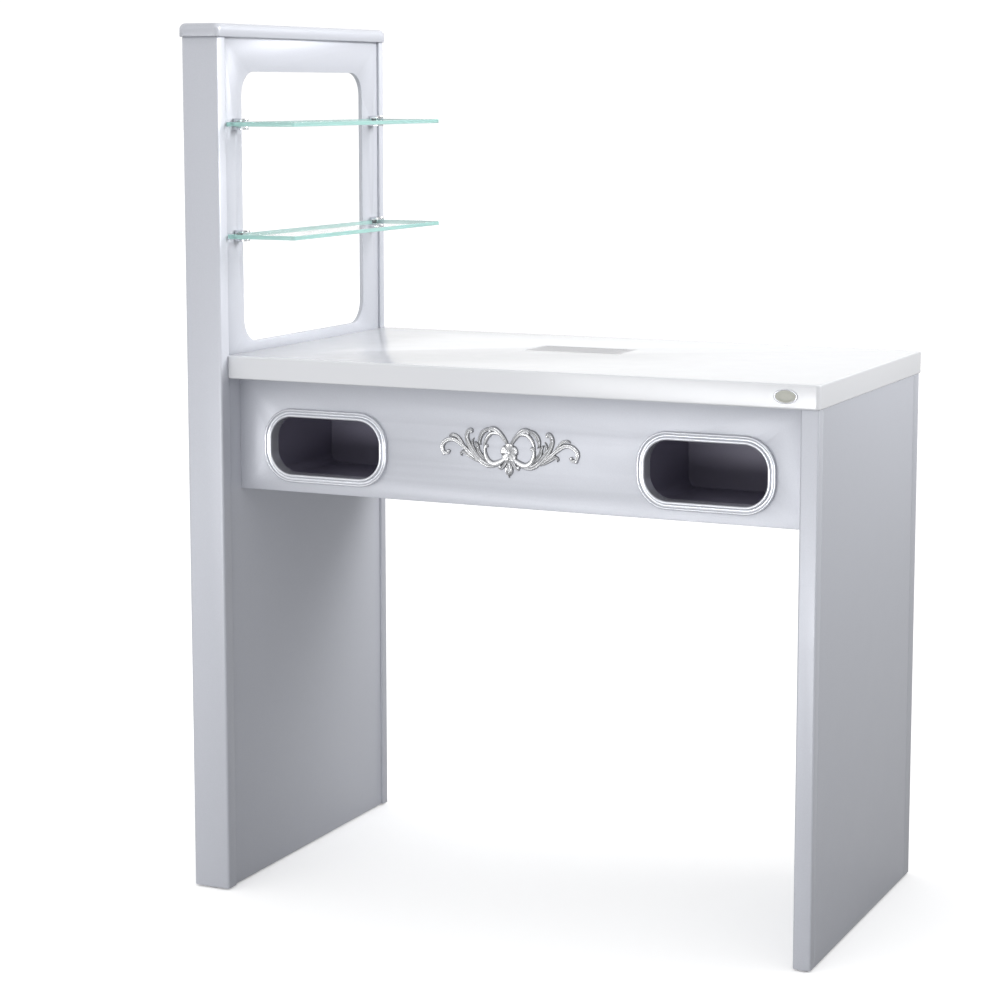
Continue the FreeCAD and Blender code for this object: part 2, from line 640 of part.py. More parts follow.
grille = plate("dust_grille", "XY", "grille_middle - grille_width / 2", "grille_start",
               "worktop_height - grille_thick", "grille_width", "grille_depth", "grille_thick")
slot_sketch = sketch_on(grille, "XY")
add_rectangle(slot_sketch, "grille_rim", "grille_rim", "slot_width",
              "grille_depth - 2 * grille_rim")
slot = pocket(grille, slot_sketch, "XY")
slots = grille.newObject("PartDesign::LinearPattern", "dust_grille_slots")
slots.Originals = [slot]
slots.Direction = (slot_sketch, ["H_Axis"])
gaps = "floor((grille_width - 2 * grille_rim - slot_width) / slot_pitch)"
bind(slots, Length=f"{gaps} * slot_pitch", Occurrences=f"{gaps} + 1")
grille.Tip = slots
doc.recompute()

tray = {"x": "grille_middle - grille_width / 2 + grille_ledge + filter_gap",
        "y": "grille_start + grille_ledge + filter_gap",
        "width": "grille_width - 2 * grille_ledge - 2 * filter_gap",
        "depth": "grille_depth - 2 * grille_ledge - 2 * filter_gap"}
tray_height = "worktop_thick - grille_thick + filter_height"
filter_frame = plate("filter_frame", "XY", tray["x"], tray["y"],
                     f"worktop_height - grille_thick - ({tray_height})",
                     tray["width"], tray["depth"], tray_height)
opening(filter_frame, "XY", "2 * filter_wall", "2 * filter_wall",
        f"{tray['width']} - 4 * filter_wall", f"{tray['depth']} - 4 * filter_wall")
opening(filter_frame, "XY", "filter_wall", "filter_wall",
        f"{tray['width']} - 2 * filter_wall", f"{tray['depth']} - 2 * filter_wall",
        level="filter_wall", depth=tray_height)
block("filter_pad", f"{tray['x']} + filter_wall", f"{tray['y']} + filter_wall",
      f"worktop_height - grille_thick - ({tray_height}) + filter_wall",
      f"{tray['width']} - 2 * filter_wall", f"{tray['depth']} - 2 * filter_wall",
      "filter_height")

# ---------------------------------------------------------------- exhaust, switches, inlet, supply
louvre = plate("exhaust_louvre", "XZ", louvre_x, "fascia_back", louvre_z,
               "louvre_width", "louvre_height", "fascia_thick")
slat = sketch_on(louvre, "XZ")
add_rectangle(slat, "louvre_slot", "louvre_slot", "louvre_width - 2 * louvre_slot", "louvre_slot")
slot = pocket(louvre, slat, "XZ")
slats = louvre.newObject("PartDesign::LinearPattern", "exhaust_louvre_slots")
slats.Originals = [slot]
slats.Direction = (slat, ["V_Axis"])
gaps = "floor((louvre_height - 3 * louvre_slot) / (2 * louvre_slot))"
bind(slats, Length=f"{gaps} * 2 * louvre_slot", Occurrences=f"{gaps} + 1")
louvre.Tip = slats
doc.recompute()

for label in ("dryer_switch", "extractor_switch"):
    middle = service_places[label][0]
    low = (f"{middle} - switch_width / 2 - bezel_flange",
           f"{service_level} - switch_height / 2 - bezel_flange")
    bezel = plate(f"{label}_bezel", "XZ", low[0], "fascia_face - switch_depth", low[1],
                  "switch_width + 2 * bezel_flange", "switch_height + 2 * bezel_flange",
                  "switch_depth + bezel_rim")
    shoulder = sketch_on(bezel, "XZ")
    add_rectangle(shoulder, "0", "0", "switch_width + 2 * bezel_flange",
                  "switch_height + 2 * bezel_flange")
    add_rectangle(shoulder, "bezel_flange", "bezel_flange", "switch_width", "switch_height")
    pocket(bezel, shoulder, "XZ", "switch_depth")
    well = "bezel_flange + bezel_wall"
    opening(bezel, "XZ", well, well, "switch_width - 2 * bezel_wall",
            "switch_height - 2 * bezel_wall", level="bezel_wall", depth="2 * switch_depth")
    pin_level = "switch_depth - rocker_pin"
    bores(bezel, "YZ", [(pin_level, "switch_height / 2 + bezel_flange")],
          "rocker_pin + rocker_play", level="bezel_flange", depth="switch_width")
    rocker = block(f"{label}_paddle", f"{middle} - switch_width / 2 + bezel_wall + rocker_gap",
                   "fascia_face - 2 * rocker_pin",
                   f"{service_level} - switch_height / 2 + bezel_wall + rocker_gap",
                   "switch_width - 2 * bezel_wall - 2 * rocker_gap",
                   "2 * rocker_pin + rocker_proud",
                   "switch_height - 2 * bezel_wall - 2 * rocker_gap")
    pin = rod(f"{label}_pin", "x", f"{middle} - switch_width / 2 + bezel_wall / 2",
              "fascia_face - rocker_pin", service_level, "rocker_pin",
              "switch_width - bezel_wall")
    fuse(f"{label}_rocker", [rocker, pin])

middle = service_places["inlet"][0]
inlet = plate("power_inlet", "XZ", f"{middle} - inlet_width / 2 - bezel_flange",
              "fascia_face - inlet_depth", f"{service_level} - inlet_height / 2 - bezel_flange",
              "inlet_width + 2 * bezel_flange", "inlet_height + 2 * bezel_flange",
              "inlet_depth + bezel_rim")
shoulder = sketch_on(inlet, "XZ")
add_rectangle(shoulder, "0", "0", "inlet_width + 2 * bezel_flange",
              "inlet_height + 2 * bezel_flange")
add_rectangle(shoulder, "bezel_flange", "bezel_flange", "inlet_width", "inlet_height")
pocket(inlet, shoulder, "XZ", "inlet_depth")
opening(inlet, "XZ", "bezel_flange + inlet_wall", "bezel_flange + inlet_wall",
        "inlet_width - 2 * inlet_wall", "inlet_height - 2 * inlet_wall",
        level="inlet_depth - socket_depth", depth="2 * socket_depth")
blades = []
for index, (across, up) in enumerate(((-1, -1), (0, 1), (1, -1))):
    blades.append(block(f"inlet_blade_{index}",
                        f"{middle} + {across} * contact_pitch - contact_thick / 2",
                        "fascia_face - socket_depth",
                        f"{service_level} + {up} * contact_rise - contact_width / 2",
                        "contact_thick", "contact_length", "contact_width"))
group("inlet_contacts", blades)

supply = plate("fan_supply", "XY", "grille_middle - supply_length / 2",
               "(apron_back + plenum_start) / 2 - supply_width / 2", "cabinet_floor",
               "supply_length", "supply_width", "supply_height")
round_edges(supply, straight_edges(supply.Tip, "z"), "fan_corner")

# ---------------------------------------------------------------- shelves and their clips
glass_start = "front + (overall_depth - glass_length) / 2"
gaskets = []
grubs = []
fixings = []
for name, level in clip_levels.items():
    shelf = plate(f"{name}_glass_shelf", "XY", "panel_face + glass_panel_gap", glass_start,
                  f"{level} - glass_thick / 2", "glass_depth", "glass_length", "glass_thick")
    round_edges(shelf, straight_edges(shelf.Tip, "z", x="high"), "glass_corner")
    for row, along in (("front", "clip_start"), ("rear", "clip_start + clip_span")):
        clip = f"{name}_{row}_clip"
        nose = "panel_face + clip_reach - clip_width / 2"
        base = block(f"{clip}_base", "panel_face", f"{along} - clip_width / 2",
                     f"{level} - clip_height / 2", "clip_reach - clip_width / 2",
                     "clip_width", "clip_height")
        tip = rod(f"{clip}_nose", "z", nose, along, f"{level} - clip_height / 2",
                  "clip_width", "clip_height")
        mouth = block(f"{clip}_mouth", "panel_face + glass_panel_gap",
                      f"{along} - clip_width", f"{level} - slot / 2",
                      "clip_reach", "2 * clip_width", "slot")
        bore = rod(f"{clip}_fixing_bore", "x", "panel_face", along, level,
                   "clip_screw", "glass_panel_gap")
        jaw = rod(f"{clip}_grub_bore", "z", nose, along, f"{level} - clip_height / 2",
                  "grub_screw", "(clip_height - slot) / 2")
        cut(clip, fuse(f"{clip}_solid", [base, tip]), fuse(f"{clip}_cuts", [mouth, bore, jaw]))
        for side, z in (("over", f"{level} + glass_thick / 2"),
                        ("under", f"{level} - slot / 2")):
            gaskets.append(block(f"{clip}_{side}_gasket", "panel_face + glass_panel_gap",
                                 f"{along} - gasket_width / 2", z,
                                 "clip_reach - clip_width / 2 - glass_panel_gap",
                                 "gasket_width", "gasket_thick"))
        grubs.append(rod(f"{clip}_grub_screw", "z", nose, along, f"{level} - clip_height / 2",
                         "grub_screw", "(clip_height - slot) / 2"))
        back = "panel_face - display_panel_thick"
        fixings.append(fuse(f"{clip}_fixing_screw", [
            rod(f"{clip}_fixing_shank", "x", back, along, level, "clip_screw",
                "display_panel_thick + glass_panel_gap"),
            rod(f"{clip}_fixing_head", "x", f"{back} - pan_head_height", along, level,
                "screw_head", "pan_head_height")]))
group("clip_gaskets", gaskets)
group("clip_grub_screws", grubs)
group("clip_fixing_screws", fixings)

# ---------------------------------------------------------------- drawers
# The board that the first runner is screwed to, where the drawer may start so that it clears
# the tower's rear stile, and where it ends.
drawer_sides = {
    "left": ("panel_face", "tower_right", "hall_left - divider_thick"),
    "right": ("hall_right + divider_thick", "hall_right + divider_thick", "leg_inner"),
}
for side, (board, start, end) in drawer_sides.items():
    clear = f"({end} - ({start}))"
    packing = f"({start} - ({board}))"
    front_width = f"({clear} - 2 * fascia_gap)"
    front = plate(f"{side}_drawer_front", "XZ", f"{start} + fascia_gap", "fascia_back",
                  "apron_bottom + fascia_gap", front_width,
                  "apron_height - 2 * fascia_gap", "fascia_thick")
    opening(front, "XZ", f"{front_width} / 2 - notch_width / 2",
            "apron_height - 2 * fascia_gap - notch_height", "notch_width", "2 * notch_height")
    box = plate(f"{side}_drawer_box", "XY", f"{start} + drawer_side_gap", "drawer_start",
                "drawer_bottom", f"{clear} - 2 * drawer_side_gap", "drawer_depth",
                "drawer_height")
    opening(box, "XY", "drawer_wall", "drawer_wall",
            f"{clear} - 2 * drawer_side_gap - 2 * drawer_wall", "drawer_depth - 2 * drawer_wall",
            level="drawer_floor", depth="drawer_height")
    runner_level = "drawer_bottom + (drawer_height - runner_height) / 2"
    near, far = f"{packing} + runner_wall", "runner_width - runner_wall"
    mouth = f"{packing} + runner_width"
    foot, top = "runner_wall", "runner_height - runner_wall"
    channels = {
        "low": (board, [("0", "0"), (mouth, "0"), (mouth, foot), (near, foot), (near, top),
                        (mouth, top), (mouth, "runner_height"), ("0", "runner_height")]),
        "high": (f"{end} - runner_width",
                 [("0", "0"), ("runner_width", "0"), ("runner_width", "runner_height"),
                  ("0", "runner_height"), ("0", top), (far, top), (far, foot), ("0", foot)]),
    }
    runners = []
    for end_name, (x, outline) in channels.items():
        channel = body_at(f"{side}_{end_name}_runner", x, "drawer_start", runner_level)
        profile = sketch_on(channel, "XZ")
        add_polygon(profile, outline)
        pad(channel, profile, "XZ", "drawer_depth")
        runners.append(channel)
    group(f"{side}_drawer_runners", runners)
    slide_length = "drawer_side_gap - runner_wall - runner_gap"
    slides = []
    for end_name, x in (("low", f"{start} + runner_wall + runner_gap"),
                        ("high", f"{end} - drawer_side_gap")):
        slides.append(block(f"{side}_{end_name}_slide", x, "drawer_start",
                            f"{runner_level} + runner_wall + runner_gap", slide_length,
                            "drawer_depth", "runner_height - 2 * runner_wall - 2 * runner_gap"))
    group(f"{side}_drawer_slides", slides)

# ---------------------------------------------------------------- floor glides
glide_places = (
    ("left + tower_width / 2", "front + post_depth / 2"),
    ("panel_face - lower_panel_thick / 2", "front + overall_depth - stile_depth - glide_diameter"),
    ("leg_inner + leg_thick / 2", "leg_start + leg_front_strip / 2"),
    ("leg_inner + leg_thick / 2", "leg_end - leg_rear_strip / 2"),
)
group("floor_glides", [rod(f"glide_{index}", "z", x, y, "0", "glide_diameter", "glide_height")
                       for index, (x, y) in enumerate(glide_places)])

# ---------------------------------------------------------------- badge and ornament
oval = named("Part::Ellipse", "badge_outline")
oval.Placement = FreeCAD.Placement(FreeCAD.Vector(), AXIS_TURN["y"])
bind(oval, MajorRadius="badge_width / 2", MinorRadius="badge_height / 2")
place(oval, "right_end - badge_from_right", "front + worktop_front - badge_thick",
      "worktop_height - worktop_thick / 2")
badge = named("Part::Extrusion", "oval_badge")
badge.Base = oval
badge.DirMode = "Custom"
badge.Dir = FreeCAD.Vector(0, 1, 0)
badge.Solid = True
bind(badge, LengthFwd="badge_thick")


def scroll_band(span, rise, side):
    """One side of the ornament: a band that leaves the centre and curls inwards at its end."""
    eye = FreeCAD.Vector(side * 0.33 * span, -0.04 * rise)
    curl = 0.45 * rise
    turns = [math.radians(angle) for angle in range(0, 541, 30)]
    outer, inner = [], []
    for step, angle in enumerate(turns):
        share = step / (len(turns) - 1)
        radius = curl * (1 - 0.72 * share)
        band = 0.11 * rise * (1 - 0.5 * share)
        way = FreeCAD.Vector(-side * math.cos(angle), math.sin(angle))
        outer.append(eye + way * radius)
        inner.append(eye + way * (radius - band))
    curves = []
    for points in (outer, inner):
        curve = Part.BSplineCurve()
        curve.interpolate(points)
        curves.append(curve.toShape())
    caps = [Part.LineSegment(outer[-1], inner[-1]).toShape(),
            Part.LineSegment(inner[0], outer[0]).toShape()]
    return Part.Face(Part.Wire([curves[0], caps[0], curves[1].reversed(), caps[1]]))


span, rise, thick = (float(sheet.get(f"ornament_{word}")) for word in ("width", "height", "thick"))
deep = FreeCAD.Vector(0, 0, thick)
flower = Part.makeCylinder(0.17 * rise, thick)
petals = [Part.makeCylinder(0.15 * rise, thick,
                            FreeCAD.Vector(math.cos(angle), math.sin(angle)) * 0.25 * rise)
          for angle in (math.pi * (step + 0.5) / 3 for step in range(6))]
stem = Part.makeBox(span, 0.12 * rise, thick, FreeCAD.Vector(-span / 2, -0.06 * rise))
lobes = [Part.makeCylinder(0.16 * rise, thick, FreeCAD.Vector(side * (span / 2 - 0.16 * rise), 0))
         for side in (-1, 1)]
tips = [Part.makeCylinder(0.1 * rise, thick, FreeCAD.Vector(0, side * 0.4 * rise))
        for side in (-1, 1)]
bands = [scroll_band(span, rise, side).extrude(deep) for side in (-1, 1)]
relief = flower.multiFuse(petals + [stem] + lobes + tips + bands).removeSplitter()
ornament = named("Part::Feature", "scroll_ornament")
ornament.Shape = relief
ornament.Placement = FreeCAD.Placement(FreeCAD.Vector(), FreeCAD.Rotation(FreeCAD.Vector(1, 0, 0), 90))
place(ornament, "apron_middle", "apron_face", "worktop_under - ornament_drop")

# ---------------------------------------------------------------- export
NODES = [
    "tower_front_post", "tower_rear_stile", "tower_lower_panel", "tower_display_panel",
    "tower_top_rail", "tower_cap", "right_leg_front_strip", "right_leg_panel",
    "right_leg_rear_strip", "worktop", "front_apron", "bottom_board", "left_divider",
    "right_divider", "rear_fascia", "left_port_trim", "right_port_trim", "scroll_ornament",
    "oval_badge", "left_bay_shell", "right_bay_shell", "left_fan_frame", "left_fan_rotor",
    "left_fan_guard", "right_fan_frame", "right_fan_rotor", "right_fan_guard",
    "dust_fan_frame", "dust_fan_rotor", "dust_plenum", "dust_grille", "filter_frame",
    "filter_pad", "exhaust_louvre", "dryer_switch_bezel", "dryer_switch_rocker",
    "extractor_switch_bezel", "extractor_switch_rocker", "power_inlet", "inlet_contacts",
    "fan_supply", "lower_glass_shelf", "upper_glass_shelf", "lower_front_clip",
    "lower_rear_clip", "upper_front_clip", "upper_rear_clip", "clip_gaskets",
    "clip_grub_screws", "clip_fixing_screws", "left_drawer_front", "left_drawer_box",
    "left_drawer_runners", "left_drawer_slides", "right_drawer_front", "right_drawer_box",
    "right_drawer_runners", "right_drawer_slides", "floor_glides",
]

doc.recompute()
for piece in doc.Objects:
    if "Invalid" in piece.State or "Error" in piece.State:
        raise RuntimeError(f"{piece.Label} did not build")
os.makedirs("parts", exist_ok=True)
for label in NODES:
    shape = doc.getObjectsByLabel(label)[0].Shape
    if shape.isNull() or not shape.isValid():
        raise RuntimeError(f"{label} has no valid shape")
    shape.exportStep(f"parts/{label}.step")
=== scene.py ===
"""Silver manicure table with a display tower, glass shelves and two hand ports."""

import math

import bmesh
import bpy
from bpy.props import FloatProperty, FloatVectorProperty, IntProperty, PointerProperty
from mathutils import Matrix, Vector


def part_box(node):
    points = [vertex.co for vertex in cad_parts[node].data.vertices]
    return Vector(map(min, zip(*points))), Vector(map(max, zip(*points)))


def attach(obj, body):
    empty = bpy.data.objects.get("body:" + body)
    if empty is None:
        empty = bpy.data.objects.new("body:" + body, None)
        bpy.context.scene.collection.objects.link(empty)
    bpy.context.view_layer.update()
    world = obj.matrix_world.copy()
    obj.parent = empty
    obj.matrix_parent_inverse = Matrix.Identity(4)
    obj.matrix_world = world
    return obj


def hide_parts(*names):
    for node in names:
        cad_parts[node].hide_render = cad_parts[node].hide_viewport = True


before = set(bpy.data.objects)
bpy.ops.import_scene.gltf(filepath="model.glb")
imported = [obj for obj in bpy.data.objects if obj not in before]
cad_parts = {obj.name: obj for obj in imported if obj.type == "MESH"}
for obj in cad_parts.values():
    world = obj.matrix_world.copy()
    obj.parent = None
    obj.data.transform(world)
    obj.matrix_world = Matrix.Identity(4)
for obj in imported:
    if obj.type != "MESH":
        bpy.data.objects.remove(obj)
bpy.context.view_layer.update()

bl_info = {
    "name": "Manicure Table",
    "version": (1, 0, 0),
    "blender": (4, 5, 0),
    "location": "View3D > Sidebar > Manicure Table",
    "description": "Builds the pieces and finishes of a manicure table on its packed frame",
    "category": "Add Mesh",
}

MM = 0.001


# ---------------------------------------------------------------- properties
class ManicureSizes(bpy.types.PropertyGroup):
    """Sizes that change how the pieces are finished."""

    edge_ease: FloatProperty(
        name="Edge ease", description="Rounding put on the sharp board edges",
        default=0.0012, min=0.0002, max=0.004, subtype="DISTANCE", unit="LENGTH")
    fine_ease: FloatProperty(
        name="Fine ease", description="Rounding put on small plastic and metal parts",
        default=0.0004, min=0.0001, max=0.002, subtype="DISTANCE", unit="LENGTH")
    relief: FloatProperty(
        name="Relief", description="Height of the scroll ornament above the apron",
        default=0.0046, min=0.001, max=0.005, subtype="DISTANCE", unit="LENGTH")
    guard_wire: FloatProperty(
        name="Guard wire", description="Wire radius of the fan guards",
        default=0.0009, min=0.0004, max=0.0012, subtype="DISTANCE", unit="LENGTH")
    grille_bars: IntProperty(
        name="Grille bars", description="Bars in the dust grille", default=30, min=8, max=60)
    fan_blades: IntProperty(
        name="Fan blades", description="Blades on each bay fan", default=7, min=3, max=11)


class ManicureColours(bpy.types.PropertyGroup):
    """Colours of the finishes."""

    lacquer: FloatVectorProperty(
        name="Silver lacquer", description="Tone of the sprayed silver boards",
        default=(0.505, 0.52, 0.567), subtype="COLOR", min=0, max=1)
    worktop: FloatVectorProperty(
        name="Worktop", description="Tone of the gloss worktop",
        default=(0.655, 0.665, 0.69), subtype="COLOR", min=0, max=1)
    trim: FloatVectorProperty(
        name="Trim", description="Tone of the port trims and ornament",
        default=(0.60, 0.615, 0.655), subtype="COLOR", min=0, max=1)
    glass_edge: FloatVectorProperty(
        name="Glass edge", description="Tint of the polished glass edges",
        default=(0.34, 0.60, 0.56), subtype="COLOR", min=0, max=1)
    floor: FloatVectorProperty(
        name="Floor", description="Tone of the studio floor",
        default=(0.95, 0.95, 0.95), subtype="COLOR", min=0, max=1)


def sizes():
    return bpy.context.scene.manicure_sizes


def colours():
    return bpy.context.scene.manicure_colours


# ---------------------------------------------------------------- shader groups
def put(tree, kind, settings=None, **values):
    """A node with its settings and its unlinked input values."""
    made = tree.nodes.new(kind)
    for key, value in (settings or {}).items():
        setattr(made, key, value)
    for key, value in values.items():
        made.inputs[key.replace("_", " ")].default_value = value
    return made


def new_group(name, inputs, outputs):
    """An empty shader group with named sockets."""
    tree = bpy.data.node_groups.new(name, "ShaderNodeTree")
    for label, kind, value in inputs:
        socket = tree.interface.new_socket(label, in_out="INPUT", socket_type=kind)
        socket.default_value = value
    for label, kind in outputs:
        tree.interface.new_socket(label, in_out="OUTPUT", socket_type=kind)
    return tree, tree.nodes.new("NodeGroupInput"), tree.nodes.new("NodeGroupOutput")


def math_node(tree, operation, first, second, clamp=False):
    made = put(tree, "ShaderNodeMath", {"operation": operation, "use_clamp": clamp})
    for socket, value in zip(made.inputs, (first, second)):
        if isinstance(value, (int, float)):
            socket.default_value = value
        else:
            tree.links.new(value, socket)
    return made.outputs[0]


def mix_colour(tree, blend, factor, first, second):
    made = put(tree, "ShaderNodeMix", {"data_type": "RGBA", "blend_type": blend})
    for socket, value in zip((made.inputs[0], made.inputs[6], made.inputs[7]),
                             (factor, first, second)):
        if isinstance(value, (int, float, tuple)):
            socket.default_value = value
        else:
            tree.links.new(value, socket)
    return made.outputs[2]


def spread(tree, value, low, high):
    """A value from 0 to 1 spread between two numbers."""
    made = put(tree, "ShaderNodeMapRange")
    tree.links.new(value, made.inputs["Value"])
    for key, bound in (("To Min", low), ("To Max", high)):
        if isinstance(bound, (int, float)):
            made.inputs[key].default_value = bound
        else:
            tree.links.new(bound, made.inputs[key])
    return made.outputs[0]


def noise(tree, coordinates, scale, detail=3.0, roughness=0.5):
    made = put(tree, "ShaderNodeTexNoise", Detail=detail, Roughness=roughness)
    tree.links.new(coordinates, made.inputs["Vector"])
    if isinstance(scale, (int, float)):
        made.inputs["Scale"].default_value = scale
    else:
        tree.links.new(scale, made.inputs["Scale"])
    return made.outputs["Fac"]


def shade_of(tree, value, amount):
    """A grey around one, as strong as the amount."""
    low = math_node(tree, "SUBTRACT", 1.0, amount)
    high = math_node(tree, "ADD", 1.0, amount)
    grey = spread(tree, value, low, high)
    colour = put(tree, "ShaderNodeCombineColor")
    for socket in colour.inputs:
        tree.links.new(grey, socket)
    return colour.outputs[0]


def build_lacquer_group():
    """Sprayed metallic lacquer: soft clouds, fine flake and orange peel."""
    tree, given, out = new_group(
        "Sprayed Lacquer",
        [("Color", "NodeSocketColor", (0.5, 0.5, 0.5, 1)), ("Cloud", "NodeSocketFloat", 0.02),
         ("Flake", "NodeSocketFloat", 0.03), ("Flake Scale", "NodeSocketFloat", 2600.0),
         ("Roughness", "NodeSocketFloat", 0.3), ("Peel Scale", "NodeSocketFloat", 260.0)],
        [("Color", "NodeSocketColor"), ("Roughness", "NodeSocketFloat"),
         ("Height", "NodeSocketFloat")])
    place = put(tree, "ShaderNodeTexCoord").outputs["Object"]
    cloud = shade_of(tree, noise(tree, place, 3.5, 2.0), given.outputs["Cloud"])
    cells = put(tree, "ShaderNodeTexVoronoi")
    tree.links.new(place, cells.inputs["Vector"])
    tree.links.new(given.outputs["Flake Scale"], cells.inputs["Scale"])
    glint = put(tree, "ShaderNodeSeparateColor")
    tree.links.new(cells.outputs["Color"], glint.inputs[0])
    flake = shade_of(tree, glint.outputs[0], given.outputs["Flake"])
    toned = mix_colour(tree, "MULTIPLY", 1.0, given.outputs["Color"], cloud)
    tree.links.new(mix_colour(tree, "MULTIPLY", 1.0, toned, flake), out.inputs["Color"])
    smudge = noise(tree, place, 14.0, 4.0, 0.6)
    rough = math_node(tree, "MULTIPLY", given.outputs["Roughness"],
                      spread(tree, smudge, 0.86, 1.16))
    tree.links.new(rough, out.inputs["Roughness"])
    peel = noise(tree, place, given.outputs["Peel Scale"], 1.5)
    tree.links.new(peel, out.inputs["Height"])
    return tree


def build_grain_group():
    """Fine grain that can be drawn out along one direction, as on brushed metal or board."""
    tree, given, out = new_group(
        "Drawn Grain",
        [("Color", "NodeSocketColor", (0.5, 0.5, 0.5, 1)), ("Shade", "NodeSocketFloat", 0.05),
         ("Roughness", "NodeSocketFloat", 0.4), ("Roughness Spread", "NodeSocketFloat", 0.15),
         ("Scale", "NodeSocketFloat", 400.0), ("Stretch", "NodeSocketVector", (1, 1, 1))],
        [("Color", "NodeSocketColor"), ("Roughness", "NodeSocketFloat"),
         ("Height", "NodeSocketFloat")])
    place = put(tree, "ShaderNodeTexCoord").outputs["Object"]
    drawn = put(tree, "ShaderNodeVectorMath", {"operation": "MULTIPLY"})
    tree.links.new(place, drawn.inputs[0])
    tree.links.new(given.outputs["Stretch"], drawn.inputs[1])
    grain = noise(tree, drawn.outputs[0], given.outputs["Scale"], 4.0, 0.6)
    tone = shade_of(tree, grain, given.outputs["Shade"])
    tree.links.new(mix_colour(tree, "MULTIPLY", 1.0, given.outputs["Color"], tone),
                   out.inputs["Color"])
    patch = noise(tree, place, 22.0, 3.0)
    wide = math_node(tree, "ADD", 1.0, given.outputs["Roughness Spread"])
    narrow = math_node(tree, "SUBTRACT", 1.0, given.outputs["Roughness Spread"])
    rough = math_node(tree, "MULTIPLY", given.outputs["Roughness"],
                      spread(tree, patch, narrow, wide))
    tree.links.new(rough, out.inputs["Roughness"])
    tree.links.new(grain, out.inputs["Height"])
    return tree


def build_dust_group():
    """A thin veil of dust on the faces that look up."""
    tree, given, out = new_group(
        "Settled Dust",
        [("Color", "NodeSocketColor", (0.5, 0.5, 0.5, 1)),
         ("Dust Color", "NodeSocketColor", (0.6, 0.59, 0.57, 1)),
         ("Amount", "NodeSocketFloat", 0.2), ("Roughness", "NodeSocketFloat", 0.4)],
        [("Color", "NodeSocketColor"), ("Roughness", "NodeSocketFloat")])
    up = put(tree, "ShaderNodeSeparateXYZ")
    tree.links.new(put(tree, "ShaderNodeNewGeometry").outputs["Normal"], up.inputs[0])
    place = put(tree, "ShaderNodeTexCoord").outputs["Object"]
    facing = put(tree, "ShaderNodeMapRange", From_Min=0.5, From_Max=1.0)
    tree.links.new(up.outputs["Z"], facing.inputs["Value"])
    speck = spread(tree, noise(tree, place, 60.0, 5.0, 0.7), 0.2, 1.0)
    veil = math_node(tree, "MULTIPLY", math_node(tree, "MULTIPLY", facing.outputs[0], speck),
                     given.outputs["Amount"], clamp=True)
    tree.links.new(mix_colour(tree, "MIX", veil, given.outputs["Color"],
                              given.outputs["Dust Color"]), out.inputs["Color"])
    tree.links.new(math_node(tree, "ADD", given.outputs["Roughness"],
                             math_node(tree, "MULTIPLY", veil, 0.4), clamp=True),
                   out.inputs["Roughness"])
    return tree


BUILDERS = {"lacquer": build_lacquer_group, "grain": build_grain_group,
            "dust": build_dust_group}
shared = {}


def shared_group(name):
    if name not in shared:
        shared[name] = BUILDERS[name]()
    return shared[name]


# ---------------------------------------------------------------- finishes
def finish(name, effect, values, constants, bump=(0.1, 0.0002), dust=0.0):
    """A Principled material whose colour, roughness and bump come from shared groups."""
    material = bpy.data.materials.new(name)
    material.use_nodes = True
    tree = material.node_tree
    shader = next(n for n in tree.nodes if n.type == "BSDF_PRINCIPLED")
    for key, value in constants.items():
        shader.inputs[key].default_value = value
    group = put(tree, "ShaderNodeGroup", {"node_tree": shared_group(effect)})
    for key, value in values.items():
        group.inputs[key].default_value = value
    colour, rough = group.outputs["Color"], group.outputs["Roughness"]
    if dust:
        veil = put(tree, "ShaderNodeGroup", {"node_tree": shared_group("dust")}, Amount=dust)
        tree.links.new(colour, veil.inputs["Color"])
        tree.links.new(rough, veil.inputs["Roughness"])
        colour, rough = veil.outputs["Color"], veil.outputs["Roughness"]
    tree.links.new(colour, shader.inputs["Base Color"])
    tree.links.new(rough, shader.inputs["Roughness"])
    raised = put(tree, "ShaderNodeBump", Strength=bump[0], Distance=bump[1])
    tree.links.new(group.outputs["Height"], raised.inputs["Height"])
    tree.links.new(raised.outputs[0], shader.inputs["Normal"])
    material.diffuse_color = values.get("Color", (0.5, 0.5, 0.5, 1))
    return material


def solid(colour):
    return (*colour, 1.0)


def silver_lacquer():
    return finish("silver_lacquer", "lacquer",
                  {"Color": solid(colours().lacquer), "Cloud": 0.012, "Flake": 0.05,
                   "Roughness": 0.44},
                  {"Metallic": 0.25, "Coat Weight": 0.12, "Coat Roughness": 0.25},
                  bump=(0.05, 0.0001), dust=0.04)


def white_gloss():
    return finish("white_gloss", "lacquer",
                  {"Color": solid(colours().worktop), "Cloud": 0.006, "Flake": 0.0,
                   "Roughness": 0.22, "Peel Scale": 180.0},
                  {"Metallic": 0.0, "Coat Weight": 0.4, "Coat Roughness": 0.14},
                  bump=(0.04, 0.0001))


def carcass_board():
    return finish("carcass_board", "grain",
                  {"Color": (0.62, 0.63, 0.65, 1), "Shade": 0.05, "Roughness": 0.5,
                   "Scale": 900.0, "Stretch": (1, 1, 1)},
                  {"Metallic": 0.0}, bump=(0.15, 0.0001), dust=0.12)


def chrome():
    return finish("chrome", "grain",
                  {"Color": (0.78, 0.79, 0.81, 1), "Shade": 0.02, "Roughness": 0.09,
                   "Roughness Spread": 0.4, "Scale": 300.0},
                  {"Metallic": 1.0}, bump=(0.02, 0.0001))


def silver_trim():
    return finish("silver_trim", "lacquer",
                  {"Color": solid(colours().trim), "Cloud": 0.02, "Flake": 0.04,
                   "Roughness": 0.24, "Peel Scale": 420.0},
                  {"Metallic": 0.6, "Coat Weight": 0.6, "Coat Roughness": 0.06},
                  bump=(0.06, 0.0001))


